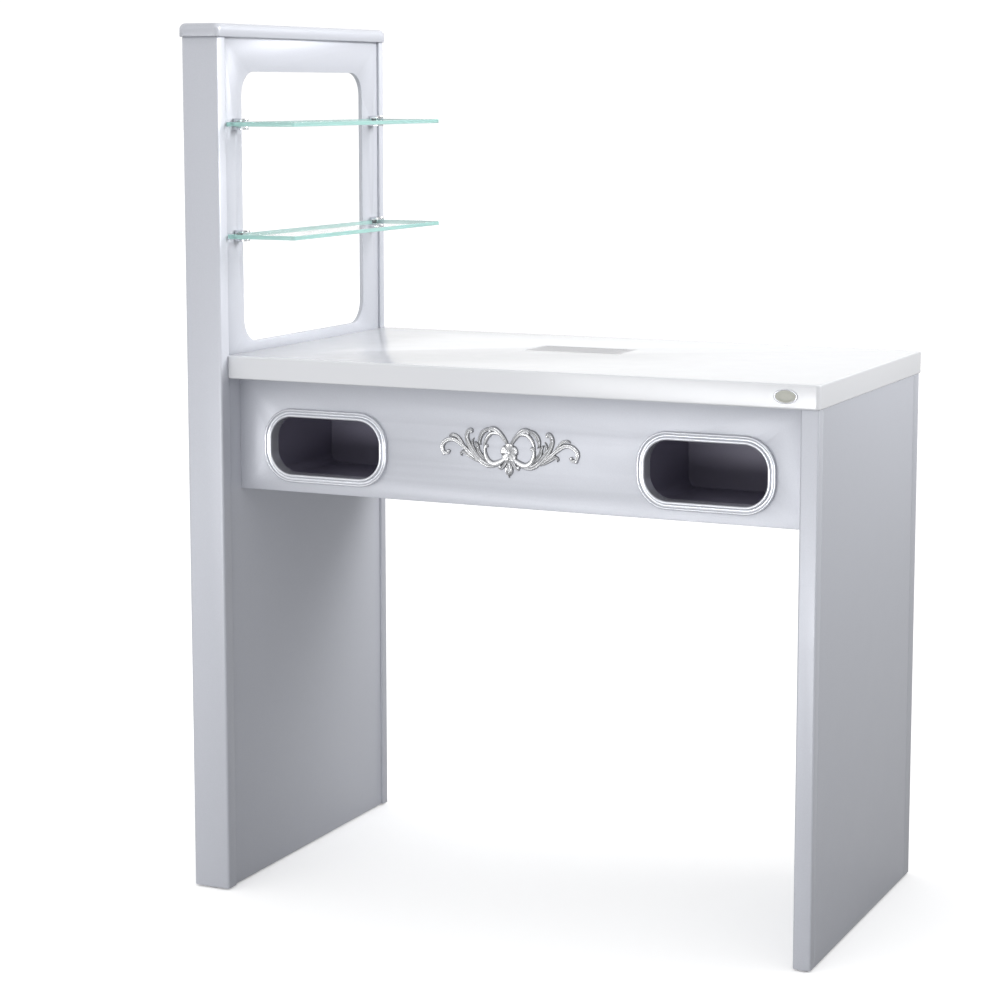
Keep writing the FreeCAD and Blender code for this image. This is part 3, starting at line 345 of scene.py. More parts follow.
def black_plastic():
    return finish("black_plastic", "grain",
                  {"Color": (0.016, 0.014, 0.020, 1), "Shade": 0.25, "Roughness": 0.36,
                   "Scale": 1400.0},
                  {"Metallic": 0.0}, bump=(0.25, 0.0001), dust=0.05)


def bay_black():
    return finish("bay_black", "grain",
                  {"Color": (0.235, 0.222, 0.30, 1), "Shade": 0.10, "Roughness": 0.42,
                   "Scale": 1100.0},
                  {"Metallic": 0.0}, bump=(0.2, 0.0001), dust=0.05)


def grey_plastic():
    return finish("grey_plastic", "grain",
                  {"Color": (0.44, 0.44, 0.455, 1), "Shade": 0.06, "Roughness": 0.42,
                   "Scale": 1200.0},
                  {"Metallic": 0.0}, bump=(0.2, 0.0001), dust=0.05)


def zinc_steel():
    return finish("zinc_steel", "grain",
                  {"Color": (0.58, 0.59, 0.60, 1), "Shade": 0.10, "Roughness": 0.34,
                   "Roughness Spread": 0.3, "Scale": 160.0, "Stretch": (1, 4, 1)},
                  {"Metallic": 1.0}, bump=(0.08, 0.0001))


def filter_fibre():
    return finish("filter_fibre", "grain",
                  {"Color": (0.74, 0.76, 0.75, 1), "Shade": 0.28, "Roughness": 0.95,
                   "Scale": 700.0, "Stretch": (1, 1, 3)},
                  {"Metallic": 0.0, "Sheen Weight": 0.3}, bump=(0.9, 0.0006), dust=0.1)


def clip_rubber():
    return finish("clip_rubber", "grain",
                  {"Color": (0.55, 0.57, 0.57, 1), "Shade": 0.05, "Roughness": 0.6,
                   "Scale": 900.0},
                  {"Metallic": 0.0}, bump=(0.1, 0.0001))


def contact_brass():
    return finish("contact_brass", "grain",
                  {"Color": (0.76, 0.58, 0.28, 1), "Shade": 0.08, "Roughness": 0.28,
                   "Scale": 500.0, "Stretch": (1, 1, 6)},
                  {"Metallic": 1.0}, bump=(0.05, 0.0001))


def clear_glass():
    return finish("clear_glass", "lacquer",
                  {"Color": (0.965, 0.995, 0.985, 1), "Cloud": 0.004, "Flake": 0.0,
                   "Roughness": 0.015},
                  {"Metallic": 0.0, "Transmission Weight": 1.0, "IOR": 1.08, "Alpha": 0.25},
                  bump=(0.01, 0.0001))


def glass_edge():
    return finish("glass_edge", "grain",
                  {"Color": solid(colours().glass_edge), "Shade": 0.12, "Roughness": 0.16,
                   "Scale": 60.0, "Stretch": (0.2, 0.2, 6)},
                  {"Metallic": 0.0, "Transmission Weight": 0.35, "IOR": 1.5,
                   "Coat Weight": 0.5},
                  bump=(0.05, 0.0001))


def badge_recess():
    return finish("badge_recess", "grain",
                  {"Color": (0.42, 0.425, 0.385, 1), "Shade": 0.1, "Roughness": 0.55,
                   "Scale": 900.0},
                  {"Metallic": 0.25}, bump=(0.1, 0.0001))


def relief_silver_painted_shade():
    """Bright silver paint, with painted shade that darkens it where the relief is low."""
    material = finish("relief_silver_painted_shade", "lacquer",
                      {"Color": (0.86, 0.87, 0.89, 1), "Cloud": 0.03, "Flake": 0.04,
                       "Roughness": 0.22, "Peel Scale": 700.0},
                      {"Metallic": 0.85, "Coat Weight": 0.3, "Coat Roughness": 0.1},
                      bump=(0.12, 0.0001))
    tree = material.node_tree
    shader = next(n for n in tree.nodes if n.type == "BSDF_PRINCIPLED")
    # Painted shade: the silver is darkened down to 0.12 of its tone where the relief height is
    # low.
    height = put(tree, "ShaderNodeAttribute", {"attribute_name": "relief"})
    low = spread(tree, height.outputs["Fac"], 0.12, 1.0)
    tone = put(tree, "ShaderNodeCombineColor")
    for socket in tone.inputs:
        tree.links.new(low, socket)
    painted = shader.inputs["Base Color"].links[0].from_socket
    tree.links.new(mix_colour(tree, "MULTIPLY", 1.0, painted, tone.outputs[0]),
                   shader.inputs["Base Color"])
    return material


FINISHES = {"silver_lacquer": silver_lacquer, "white_gloss": white_gloss,
            "carcass_board": carcass_board, "glass": clear_glass, "chrome": chrome,
            "silver_trim": silver_trim, "black_plastic": black_plastic,
            "grey_plastic": grey_plastic, "steel": zinc_steel,
            "filter_fibre": filter_fibre, "rubber": clip_rubber, "brass": contact_brass,
            "glass_edge": glass_edge, "bay_black": bay_black, "badge_recess": badge_recess,
            "relief_silver_painted_shade": relief_silver_painted_shade}
finished = {}


def finish_of(name):
    if name not in finished:
        finished[name] = FINISHES[name]()
    return finished[name]


# ---------------------------------------------------------------- mesh helpers
def link(name, data):
    """A new object in the scene that shows the given mesh or camera."""
    made = bpy.data.objects.new(name, data)
    bpy.context.scene.collection.objects.link(made)
    return made


def baked(obj):
    """The evaluated mesh of an object, with its modifiers taken off and the object removed."""
    bpy.context.view_layer.update()
    graph = bpy.context.evaluated_depsgraph_get()
    mesh = bpy.data.meshes.new_from_object(obj.evaluated_get(graph), depsgraph=graph)
    obj.modifiers.clear()
    old = obj.data
    bpy.data.objects.remove(obj)
    if old.users == 0:
        bpy.data.meshes.remove(old)
    return mesh


def shaded(mesh, angle=35):
    """The mesh shaded smooth, with its sharper edges kept crisp."""
    mesh.polygons.foreach_set("use_smooth", [True] * len(mesh.polygons))
    mesh.set_sharp_from_angle(angle=math.radians(angle))
    return mesh


def as_piece(name, mesh, body, slot_name, replaced=(), looks=()):
    """A finished mesh as a named piece that rides on a body."""
    mesh.name = name
    made = link(name, mesh)
    used = list(looks) or [slot_name]
    if not looks:
        mesh.materials.clear()
    for look in used if len(mesh.materials) == 0 else []:
        mesh.materials.append(finish_of(look))
    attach(made, body)
    if replaced:
        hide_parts(*replaced)
    return made


def mesh_of(bm, name="shape"):
    mesh = bpy.data.meshes.new(name)
    bm.to_mesh(mesh)
    bm.free()
    return mesh


def eased(mesh, width, segments=2, angle=30):
    """The mesh with its sharp edges rounded off."""
    made = link("easing", mesh)
    mesh.polygons.foreach_set("use_smooth", [True] * len(mesh.polygons))
    bevel = made.modifiers.new("ease", "BEVEL")
    bevel.width = width
    bevel.segments = segments
    bevel.limit_method = "ANGLE"
    bevel.angle_limit = math.radians(angle)
    bevel.use_clamp_overlap = True
    bevel.harden_normals = True
    return baked(made)


def eased_copy(node, width, segments=2, angle=30):
    """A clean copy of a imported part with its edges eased."""
    bm = bmesh.new()
    bm.from_mesh(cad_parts[node].data)
    bmesh.ops.remove_doubles(bm, verts=bm.verts, dist=2e-6)
    bmesh.ops.dissolve_limit(bm, angle_limit=math.radians(0.6), verts=bm.verts,
                             edges=bm.edges)
    mesh = mesh_of(bm)
    mesh.materials.clear()
    return eased(mesh, width, segments, angle)


def slot_of(node):
    """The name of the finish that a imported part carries."""
    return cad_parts[node].data.materials[0].name.split(".")[0]


def ease_parts(nodes, width, body="cabinet", segments=2):
    """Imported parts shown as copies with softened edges, each in its own finish."""
    for node in nodes:
        as_piece(f"{node}_piece", eased_copy(node, width, segments), body, slot_of(node), (node,))


def box_of(node):
    """The low corner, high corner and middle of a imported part."""
    low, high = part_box(node)
    return low, high, (low + high) / 2


def slab(bm, low, high):
    """A closed block between two corners."""
    corners = [bm.verts.new((x, y, z)) for z in (low[2], high[2])
               for y in (low[1], high[1]) for x in (low[0], high[0])]
    for face in ((0, 2, 3, 1), (4, 5, 7, 6), (0, 1, 5, 4), (2, 6, 7, 3), (0, 4, 6, 2),
                 (1, 3, 7, 5)):
        bm.faces.new([corners[i] for i in face])


def rounded_loop(middle_x, middle_z, width, height, radius, steps=14):
    """Points and outward directions round a rounded rectangle that stands up."""
    found = []
    for quarter, (side, rise) in enumerate(((1, 1), (-1, 1), (-1, -1), (1, -1))):
        x = middle_x + side * (width / 2 - radius)
        z = middle_z + rise * (height / 2 - radius)
        for i in range(steps + 1):
            angle = math.pi / 2 * (quarter + i / steps)
            found.append((x, z, radius, math.cos(angle), math.sin(angle)))
    return found


def swept_ring(loop, profile):
    """A closed ring whose section is the profile of (outward offset, y) points."""
    bm = bmesh.new()
    rings = [[bm.verts.new((x + (radius + out) * dx, y, z + (radius + out) * dz))
              for out, y in profile] for x, z, radius, dx, dz in loop]
    for i, ring in enumerate(rings):
        after = rings[(i + 1) % len(rings)]
        for k in range(len(profile)):
            n = (k + 1) % len(profile)
            bm.faces.new((ring[k], ring[n], after[n], after[k]))
    bmesh.ops.remove_doubles(bm, verts=bm.verts, dist=1e-7)
    bmesh.ops.recalc_face_normals(bm, faces=bm.faces)
    return mesh_of(bm)


def turned(profile, steps=32):
    """A closed shape turned round Z from (radius, height) points, first and last on the axis."""
    bm = bmesh.new()
    rings = []
    for radius, height in profile:
        if radius < 1e-9:
            rings.append([bm.verts.new((0, 0, height))])
        else:
            rings.append([bm.verts.new((radius * math.cos(2 * math.pi * i / steps),
                                        radius * math.sin(2 * math.pi * i / steps), height))
                          for i in range(steps)])
    for low, high in zip(rings, rings[1:]):
        for i in range(steps):
            n = (i + 1) % steps
            if len(low) == 1:
                bm.faces.new((low[0], high[i], high[n]))
            elif len(high) == 1:
                bm.faces.new((low[i], low[n], high[0]))
            else:
                bm.faces.new((low[i], low[n], high[n], high[i]))
    bmesh.ops.recalc_face_normals(bm, faces=bm.faces)
    return mesh_of(bm)


# ---------------------------------------------------------------- geometry nodes
def geometry_tree(name, inputs):
    """A geometry tree with a geometry input and the named inputs."""
    tree = bpy.data.node_groups.new(name, "GeometryNodeTree")
    tree.interface.new_socket("Geometry", in_out="INPUT", socket_type="NodeSocketGeometry")
    for label, kind in inputs:
        tree.interface.new_socket(label, in_out="INPUT", socket_type=kind)
    tree.interface.new_socket("Geometry", in_out="OUTPUT", socket_type="NodeSocketGeometry")
    return tree, tree.nodes.new("NodeGroupInput"), tree.nodes.new("NodeGroupOutput")


def end_tree(tree, given, out, geometry):
    """Realise, set the material and put the result out."""
    real = tree.nodes.new("GeometryNodeRealizeInstances")
    paint = tree.nodes.new("GeometryNodeSetMaterial")
    tree.links.new(geometry, real.inputs[0])
    tree.links.new(real.outputs[0], paint.inputs["Geometry"])
    tree.links.new(given.outputs["Material"], paint.inputs["Material"])
    tree.links.new(paint.outputs[0], out.inputs[0])
    return tree


def build_row_tree():
    """Copies of a bar in a straight row, joined to the frame that holds them."""
    tree, given, out = geometry_tree("Bar Row", [
        ("Bar", "NodeSocketObject"), ("Count", "NodeSocketInt"), ("Start", "NodeSocketVector"),
        ("Step", "NodeSocketVector"), ("Material", "NodeSocketMaterial")])
    row = put(tree, "GeometryNodeMeshLine", {"mode": "OFFSET"})
    bar = put(tree, "GeometryNodeObjectInfo", {"transform_space": "RELATIVE"})
    copies = tree.nodes.new("GeometryNodeInstanceOnPoints")
    both = tree.nodes.new("GeometryNodeJoinGeometry")
    for source, target in ((given.outputs["Count"], row.inputs["Count"]),
                           (given.outputs["Start"], row.inputs["Start Location"]),
                           (given.outputs["Step"], row.inputs["Offset"]),
                           (given.outputs["Bar"], bar.inputs["Object"]),
                           (row.outputs[0], copies.inputs["Points"]),
                           (bar.outputs["Geometry"], copies.inputs["Instance"]),
                           (given.outputs["Geometry"], both.inputs[0]),
                           (copies.outputs[0], both.inputs[0])):
        tree.links.new(source, target)
    return end_tree(tree, given, out, both.outputs[0])


def build_wheel_tree():
    """Copies of a blade turned round Z, joined to the hub that holds them."""
    tree, given, out = geometry_tree("Blade Wheel", [
        ("Blade", "NodeSocketObject"), ("Count", "NodeSocketInt"),
        ("Material", "NodeSocketMaterial")])
    row = put(tree, "GeometryNodeMeshLine", {"mode": "OFFSET"})
    row.inputs["Offset"].default_value = (0, 0, 0)
    blade = put(tree, "GeometryNodeObjectInfo", {"transform_space": "RELATIVE"})
    copies = tree.nodes.new("GeometryNodeInstanceOnPoints")
    both = tree.nodes.new("GeometryNodeJoinGeometry")
    index = tree.nodes.new("GeometryNodeInputIndex")
    share = math_node(tree, "DIVIDE", index.outputs[0], given.outputs["Count"])
    turn = tree.nodes.new("ShaderNodeCombineXYZ")
    tree.links.new(math_node(tree, "MULTIPLY", share, 2 * math.pi), turn.inputs["Z"])
    for source, target in ((given.outputs["Count"], row.inputs["Count"]),
                           (given.outputs["Blade"], blade.inputs["Object"]),
                           (row.outputs[0], copies.inputs["Points"]),
                           (blade.outputs["Geometry"], copies.inputs["Instance"]),
                           (turn.outputs[0], copies.inputs["Rotation"]),
                           (given.outputs["Geometry"], both.inputs[0]),
                           (copies.outputs[0], both.inputs[0])):
        tree.links.new(source, target)
    return end_tree(tree, given, out, both.outputs[0])


def build_guard_tree():
    """Round wire rings of growing radius, joined to the struts that hold them."""
    tree, given, out = geometry_tree("Wire Guard", [
        ("Count", "NodeSocketInt"), ("First Radius", "NodeSocketFloat"),
        ("Gap", "NodeSocketFloat"), ("Wire", "NodeSocketFloat"),
        ("Material", "NodeSocketMaterial")])
    row = put(tree, "GeometryNodeMeshLine", {"mode": "OFFSET"})
    row.inputs["Offset"].default_value = (0, 0, 0)
    circle = put(tree, "GeometryNodeCurvePrimitiveCircle", {"mode": "RADIUS"}, Resolution=48)
    circle.inputs["Radius"].default_value = 1.0
    section = put(tree, "GeometryNodeCurvePrimitiveCircle", {"mode": "RADIUS"}, Resolution=8)
    index = tree.nodes.new("GeometryNodeInputIndex")
    radius = math_node(tree, "ADD", given.outputs["First Radius"],
                       math_node(tree, "MULTIPLY", index.outputs[0], given.outputs["Gap"]))
    size = tree.nodes.new("ShaderNodeCombineXYZ")
    for socket in size.inputs:
        tree.links.new(radius, socket)
    copies = tree.nodes.new("GeometryNodeInstanceOnPoints")
    lines = tree.nodes.new("GeometryNodeRealizeInstances")
    even = tree.nodes.new("GeometryNodeSetCurveRadius")
    even.inputs["Radius"].default_value = 1.0
    wire = tree.nodes.new("GeometryNodeCurveToMesh")
    both = tree.nodes.new("GeometryNodeJoinGeometry")
    for source, target in ((given.outputs["Count"], row.inputs["Count"]),
                           (row.outputs[0], copies.inputs["Points"]),
                           (circle.outputs[0], copies.inputs["Instance"]),
                           (size.outputs[0], copies.inputs["Scale"]),
                           (copies.outputs[0], lines.inputs[0]),
                           (lines.outputs[0], even.inputs["Curve"]),
                           (even.outputs[0], wire.inputs["Curve"]),
                           (given.outputs["Wire"], section.inputs["Radius"]),
                           (section.outputs[0], wire.inputs["Profile Curve"]),
                           (given.outputs["Geometry"], both.inputs[0]),
                           (wire.outputs[0], both.inputs[0])):
        tree.links.new(source, target)
    return end_tree(tree, given, out, both.outputs[0])


TREES = {"row": build_row_tree, "wheel": build_wheel_tree, "guard": build_guard_tree}
trees = {}


def grown(mesh, kind, values, spare=None):
    """The mesh with a geometry tree's result baked in."""
    if kind not in trees:
        trees[kind] = TREES[kind]()
    tree = trees[kind]
    base = link("growing", mesh)
    modifier = base.modifiers.new(kind, "NODES")
    modifier.node_group = tree
    for item in tree.interface.items_tree:
        if item.in_out == "INPUT" and item.name in values:
            modifier[item.identifier] = values[item.name]
    result = baked(base)
    if spare:
        old = spare.data
        bpy.data.objects.remove(spare)
        bpy.data.meshes.remove(old)
    return result


def bar_object(low, high, ease, turn=None):
    """A small eased bar to be repeated, turned about its own middle if asked."""
    bm = bmesh.new()
    slab(bm, low, high)
    if turn:
        bmesh.ops.rotate(bm, verts=bm.verts, cent=(Vector(low) + Vector(high)) / 2,
                         matrix=Matrix.Rotation(turn, 3, "X"))
    return link("bar", eased(mesh_of(bm), ease, 1))


def frame_mesh(low, high, wall, axis):
    """A rectangular frame open along Y or Z, as four mitred sides."""
    bm = bmesh.new()
    across = (0, 2) if axis == "Y" else (0, 1)
    along = 1 if axis == "Y" else 2
    loops = []
    for inset in (0, wall):
        for level in (low[along], high[along]):
            loop = []
            for i, k in ((0, 0), (1, 0), (1, 1), (0, 1)):
                point = [0.0, 0.0, 0.0]
                point[across[0]] = high[across[0]] - inset if i else low[across[0]] + inset
                point[across[1]] = high[across[1]] - inset if k else low[across[1]] + inset
                point[along] = level
                loop.append(bm.verts.new(point))
            loops.append(loop)
    for first, second in ((0, 1), (1, 3), (3, 2), (2, 0)):
        for i in range(4):
            n = (i + 1) % 4
            bm.faces.new((loops[first][i], loops[first][n], loops[second][n],
                          loops[second][i]))
    bmesh.ops.recalc_face_normals(bm, faces=bm.faces)
    return mesh_of(bm)


# ---------------------------------------------------------------- hand ports
TRIM_BAND = 12 * MM
PORT_CORNER = 33 * MM
SLEEVE_WALL = 2.0 * MM
INNER_BEAD, INNER_BEAD_RISE = 2.5 * MM, 2.6 * MM
OUTER_BEAD, OUTER_BEAD_RISE = 1.8 * MM, 2.0 * MM
# Points of the hollow between the two beads: how far out, and how far behind the front.
HOLLOW = [(5.6 * MM, 3.7 * MM), (7.4 * MM, 3.9 * MM), (8.4 * MM, 3.2 * MM)]
OUTER_BEAD_FOOT = 2.8 * MM
BEAD_SHAPE = [(math.cos(math.pi * i / 8), math.sin(math.pi * i / 8)) for i in range(8, -1, -1)]


def trim_profile(back, face, front):
    """The section of a port trim: sleeve, inner bead, hollow and outer bead."""
    shape = [(0.0, back), (0.0, front + INNER_BEAD_RISE)]
    shape += [(INNER_BEAD + INNER_BEAD * c, front + INNER_BEAD_RISE - INNER_BEAD_RISE * s)
              for c, s in BEAD_SHAPE[1:]]
    shape += [(out, front + behind) for out, behind in HOLLOW]
    shape += [(TRIM_BAND - OUTER_BEAD + OUTER_BEAD * c,
               front + OUTER_BEAD_FOOT - OUTER_BEAD_RISE * s) for c, s in BEAD_SHAPE]
    shape += [(TRIM_BAND, face), (SLEEVE_WALL, face), (SLEEVE_WALL, back)]
    return shape


def build_port_trim(node):
    """The beaded trim swept round one hand port."""
    low, high, middle = box_of(node)
    loop = rounded_loop(middle.x, middle.z, high.x - low.x - 2 * TRIM_BAND,
                        high.z - low.z - 2 * TRIM_BAND, PORT_CORNER, 18)
    apron_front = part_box("front_apron")[0].y
    mesh = swept_ring(loop, trim_profile(high.y, apron_front, low.y))
    as_piece(f"{node}_piece", shaded(mesh, 48), "cabinet", "silver_trim", (node,))


# ---------------------------------------------------------------- ornament
# Rows of (across, up, half width, height share), in millimetres from the ornament's middle.
STEMS = [
    ([(3, -6, 1.6, 0.5), (9, -10.5, 2.6, 0.9), (17, -15.5, 3.4, 1.0), (25, -17, 3.4, 0.95),
      (32, -12.5, 2.9, 0.85), (36, -5, 2.4, 0.8), (37, 3, 1.9, 0.75), (34.2, 8.6, 1.3, 0.65),
      (31.6, 6.4, 0.5, 0.4)], 0.0),
    ([(14, -15, 1.2, 0.5), (24, -19.6, 2.2, 0.8), (35, -18.5, 2.8, 0.85), (46, -11, 2.8, 0.9),
      (55, -1, 2.8, 0.9), (61.5, 9, 2.8, 0.9), (64.5, 19, 2.7, 0.95), (61.5, 27, 2.5, 1.0),
      (57, 28.6, 1.9, 0.9), (55.6, 25, 0.8, 0.6)], 0.45),
    ([(36, -17.4, 1.0, 0.5), (48, -12, 2.0, 0.7), (60, -3, 2.4, 0.8), (71, 6, 2.4, 0.85),
      (83, 13.4, 2.5, 0.9), (94, 12.6, 2.6, 0.95), (101.8, 5.4, 2.5, 0.95),
      (100.6, -3.8, 2.2, 0.9), (94, -6, 1.8, 0.85), (90.6, -1.6, 1.2, 0.8)], 0.30),
    ([(40, -16.4, 0.9, 0.45), (51, -12.6, 1.8, 0.65), (61, -7, 2.4, 0.75), (68.6, -2.6, 2.2, 0.8),
      (73, -5, 1.6, 0.75), (72, -8.6, 0.6, 0.5)], 0.45),
    ([(66, 3, 0.7, 0.4), (72, 11, 1.5, 0.65), (79, 18.4, 1.8, 0.75), (87, 20.6, 1.6, 0.75),
      (91.4, 18.4, 0.7, 0.5)], 0.3),
    ([(2, 9, 1.4, 0.6), (6.5, 17, 2.3, 0.85), (13, 25, 2.7, 0.95), (21, 31, 2.9, 1.0),
      (28.4, 31.6, 2.4, 1.0), (30.6, 27.6, 1.2, 0.7)], 0.4),
    ([(9, 21.6, 0.8, 0.5), (17, 25.6, 1.9, 0.8), (26.6, 25.4, 2.3, 0.85), (33.6, 18.6, 2.2, 0.8),
      (37.4, 9.6, 1.4, 0.65), (38.4, 4, 0.5, 0.4)], 0.0),
    ([(24, 31, 0.9, 0.5), (32, 30.6, 2.2, 0.85), (39.6, 26.6, 2.6, 0.95), (44, 19, 2.4, 0.9),
      (45, 12, 1.7, 0.75), (42.4, 8.6, 0.6, 0.5)], 0.5),
    ([(30, -13.6, 0.9, 0.5), (40, -8, 1.9, 0.7), (46.6, 0.6, 2.2, 0.8), (48.6, 8.6, 1.9, 0.8),
      (52.6, 12.6, 0.8, 0.55)], 0.5),
    ([(34, -14.6, 0.8, 0.4), (45, -8.6, 1.5, 0.6), (53.6, 2.4, 1.7, 0.7), (56, 12, 1.3, 0.65),
      (53.4, 17.6, 0.5, 0.4)], 0.4),
    ([(1.8, -8, 1.4, 0.5), (5.6, -14.6, 2.2, 0.8), (9.6, -20, 2.2, 0.85), (13.6, -22.6, 1.8, 0.8),
      (15.4, -20, 0.8, 0.5)], 0.45),
    ([(0.8, -15, 1.0, 0.5), (3.4, -21, 1.7, 0.75), (3.6, -27, 1.5, 0.75), (1.4, -32, 0.5, 0.4)],
     0.3),
]
CENTRE_STEMS = [
    ([(0, -6, 1.8, 0.6), (0, -14, 2.6, 0.95), (0, -22, 2.4, 0.95), (0, -30, 1.6, 0.8),
      (0, -35.2, 0.3, 0.3)], 0.5),
]
BEADS = [(100.0, -6.6, 2.6, 0.8), (13.8, -20.2, 2.4, 0.9), (34.0, 6.4, 1.9, 0.8),
         (57.0, 25.8, 2.0, 0.95), (28.6, 28.6, 2.2, 1.0), (93.0, -2.8, 2.4, 0.9)]
PETALS, PETAL_REACH, PETAL_WIDTH, HEART = 5, 13.0, 5.2, 3.4
STEM_FULLNESS, STEM_DOME, GROOVE_WIDTH, PETAL_GROOVE = 1.3, 0.93, 0.3, 0.35
# Rings of a bead: share of its radius, share of its height.
BEAD_RINGS = [(1.0, 0.0), (1.0, 0.45), (0.86, 0.75), (0.6, 0.92), (0.3, 0.99)]
# Rows of a petal: share of its reach, share of its width, share of the relief.
PETAL_ROWS = [(0.16, 0.35, 0.6), (0.45, 0.8, 0.8), (0.75, 1.0, 0.95), (0.93, 0.75, 0.9),
              (1.0, 0.3, 0.6)]
HEART_HEIGHT = 1.06


def smooth_rows(rows, steps=7):
    """More rows on a smooth line through the given ones."""
    found = []
    for i in range(len(rows) - 1):
        a, b, c, d = (rows[max(0, min(len(rows) - 1, k))] for k in (i - 1, i, i + 1, i + 2))
        for step in range(steps):
            t = step / steps
            found.append([0.5 * (2 * q + (r - p) * t + (2 * p - 5 * q + 4 * r - s) * t * t
                                 + (3 * q - p - 3 * r + s) * t ** 3)
                          for p, q, r, s in zip(a, b, c, d)])
    found.append(list(rows[-1]))
    return found


class Relief:
    """A carved relief that stands out from the apron."""

    def __init__(self, middle, face, height):
        self.bm = bmesh.new()
        # The height share of each point, which the ornament's silver material reads to paint
        # shade on the low parts.
        self.level = self.bm.verts.layers.float.new("relief")
        self.middle, self.face, self.height = middle, face, height

    def point(self, across, up, out):
        made = self.bm.verts.new((self.middle.x + across * MM, self.face - self.height * out,
                                  self.middle.z + up * MM))
        made[self.level] = max(0.0, min(1.0, out))
        return made

    def stem(self, rows, flute, side=1, lobes=9):
        """A tapering stem or leaf along a line, with a groove down its middle."""
        line = smooth_rows(rows)
        rings = []
        for i, (across, up, half, share) in enumerate(line):
            half *= STEM_FULLNESS
            first, last = line[max(0, i - 1)], line[min(len(line) - 1, i + 1)]
            run = Vector((last[0] - first[0], last[1] - first[1])).normalized()
            ring = []
            for k in range(lobes):
                s = 2 * k / (lobes - 1) - 1
                dome = math.sqrt(max(0.0, 1 - STEM_DOME * s * s))
                groove = 1 - flute * math.exp(-(s / GROOVE_WIDTH) ** 2)
                ring.append(self.point(side * (across - run.y * half * s),
                                       up + run.x * half * s,
                                       share * dome * groove))
            for s in (1, -1):
                ring.append(self.point(side * (across - run.y * half * s),
                                       up + run.x * half * s, 0.0))
            rings.append(ring)
        for ring, after in zip(rings, rings[1:]):
            for k in range(len(ring)):
                n = (k + 1) % len(ring)
                self.bm.faces.new((ring[k], ring[n], after[n], after[k]))
        self.bm.faces.new(rings[0])
        self.bm.faces.new(rings[-1])

    def bead(self, across, up, radius, share, steps=14):
        """A round bead, low at its rim."""
        rings = [[self.point(across + radius * r * math.cos(2 * math.pi * i / steps),
                             up + radius * r * math.sin(2 * math.pi * i / steps), share * h)
                  for i in range(steps)] for r, h in BEAD_RINGS]
        for low, high in zip(rings, rings[1:]):
            for i in range(steps):
                n = (i + 1) % steps
                self.bm.faces.new((low[i], low[n], high[n], high[i]))
        self.bm.faces.new(rings[0])
        self.bm.faces.new(rings[-1])

    def flower(self):
        """A ring of petals round a round heart."""
        for i in range(PETALS):
            angle = math.pi / 2 + 2 * math.pi * i / PETALS
            run = Vector((math.cos(angle), math.sin(angle)))
            rows = [(run.x * PETAL_REACH * r, run.y * PETAL_REACH * r, PETAL_WIDTH * w, h)
                    for r, w, h in PETAL_ROWS]
            self.stem(rows, PETAL_GROOVE)
        self.bead(0, 0, HEART, HEART_HEIGHT)

    def mesh(self):
        bmesh.ops.recalc_face_normals(self.bm, faces=self.bm.faces)
        return shaded(mesh_of(self.bm), 60)


def build_scroll():
    """The scroll ornament: mirrored stems and beads about a flower."""
    _, high, middle = box_of("scroll_ornament")
    relief = Relief(middle, high.y, sizes().relief)
    for rows, flute in STEMS:
        for side in (1, -1):
            relief.stem(rows, flute, side)
    for rows, flute in CENTRE_STEMS:
        relief.stem(rows, flute)
    for across, up, radius, share in BEADS:
        for side in (1, -1):
            relief.bead(side * across, up, radius, share)
    relief.flower()
    as_piece("scroll_ornament_piece", relief.mesh(), "cabinet", "silver_trim",
             ("scroll_ornament",), ("relief_silver_painted_shade",))


# Rings of the badge from its rim inward: share of its half size, share of its thickness.
BADGE_STEPS = [(1.0, 0.0), (1.0, 0.62), (0.975, 0.86), (0.93, 1.0), (0.88, 0.92), (0.855, 0.62),
               (0.84, 0.55), (0.66, 0.60), (0.645, 0.66), (0.61, 0.80), (0.45, 0.90),
               (0.22, 0.96)]
FIELD_RING = 6
BADGE_SIDES = 56


def build_badge():
    """A plain oval badge with a raised rim and a satin field."""
    low, high, middle = box_of("oval_badge")
    wide, tall, thick = (high.x - low.x) / 2, (high.z - low.z) / 2, high.y - low.y
    bm = bmesh.new()
    steps = BADGE_SIDES
    rings = [[bm.verts.new((middle.x + wide * r * math.cos(2 * math.pi * i / steps),
                            high.y - thick * h,
                            middle.z + tall * r * math.sin(2 * math.pi * i / steps)))
              for i in range(steps)] for r, h in BADGE_STEPS]
    for k, (outer, inner) in enumerate(zip(rings, rings[1:])):
        for i in range(steps):
            n = (i + 1) % steps
            face = bm.faces.new((outer[i], outer[n], inner[n], inner[i]))
            face.material_index = 1 if k >= FIELD_RING else 0
    bm.faces.new(rings[0])
    bm.faces.new(rings[-1]).material_index = 1
    bmesh.ops.recalc_face_normals(bm, faces=bm.faces)
    as_piece("oval_badge_piece", shaded(mesh_of(bm), 40), "cabinet", "silver_trim",
             ("oval_badge",), ("silver_trim", "badge_recess"))


# ---------------------------------------------------------------- fans
BLADE_SPANS, BLADE_CHORDS = 8, 6
ROOT_PITCH, PITCH_LOSS, TIP_SWEEP = 48, 22, 14
ROOT_CHORD, CHORD_GROWTH = 0.85, 0.3
CAMBER, BLADE_SKIN, SKIN_AT_EDGE = 0.10, 0.6 * MM, 0.25
# The hub from its top down and up again inside: shares of its radius and half height.
HUB_PROFILE = [(0, 1), (0.8, 1), (0.95, 0.88), (1, 0.6), (1, -1), (0.86, -1), (0.84, 0.2),
               (0, 0.2)]
BLADE_ROOT, BLADE_DEPTH = 0.97, 0.96
HUB_SHARE, CHORD_SHARE, TIP_CLEARANCE = 0.39, 0.62, 0.3 * MM
GUARD_RINGS, GUARD_SPOKES = 6, 4
FIRST_RING, SPOKE_START = 0.2, 0.14


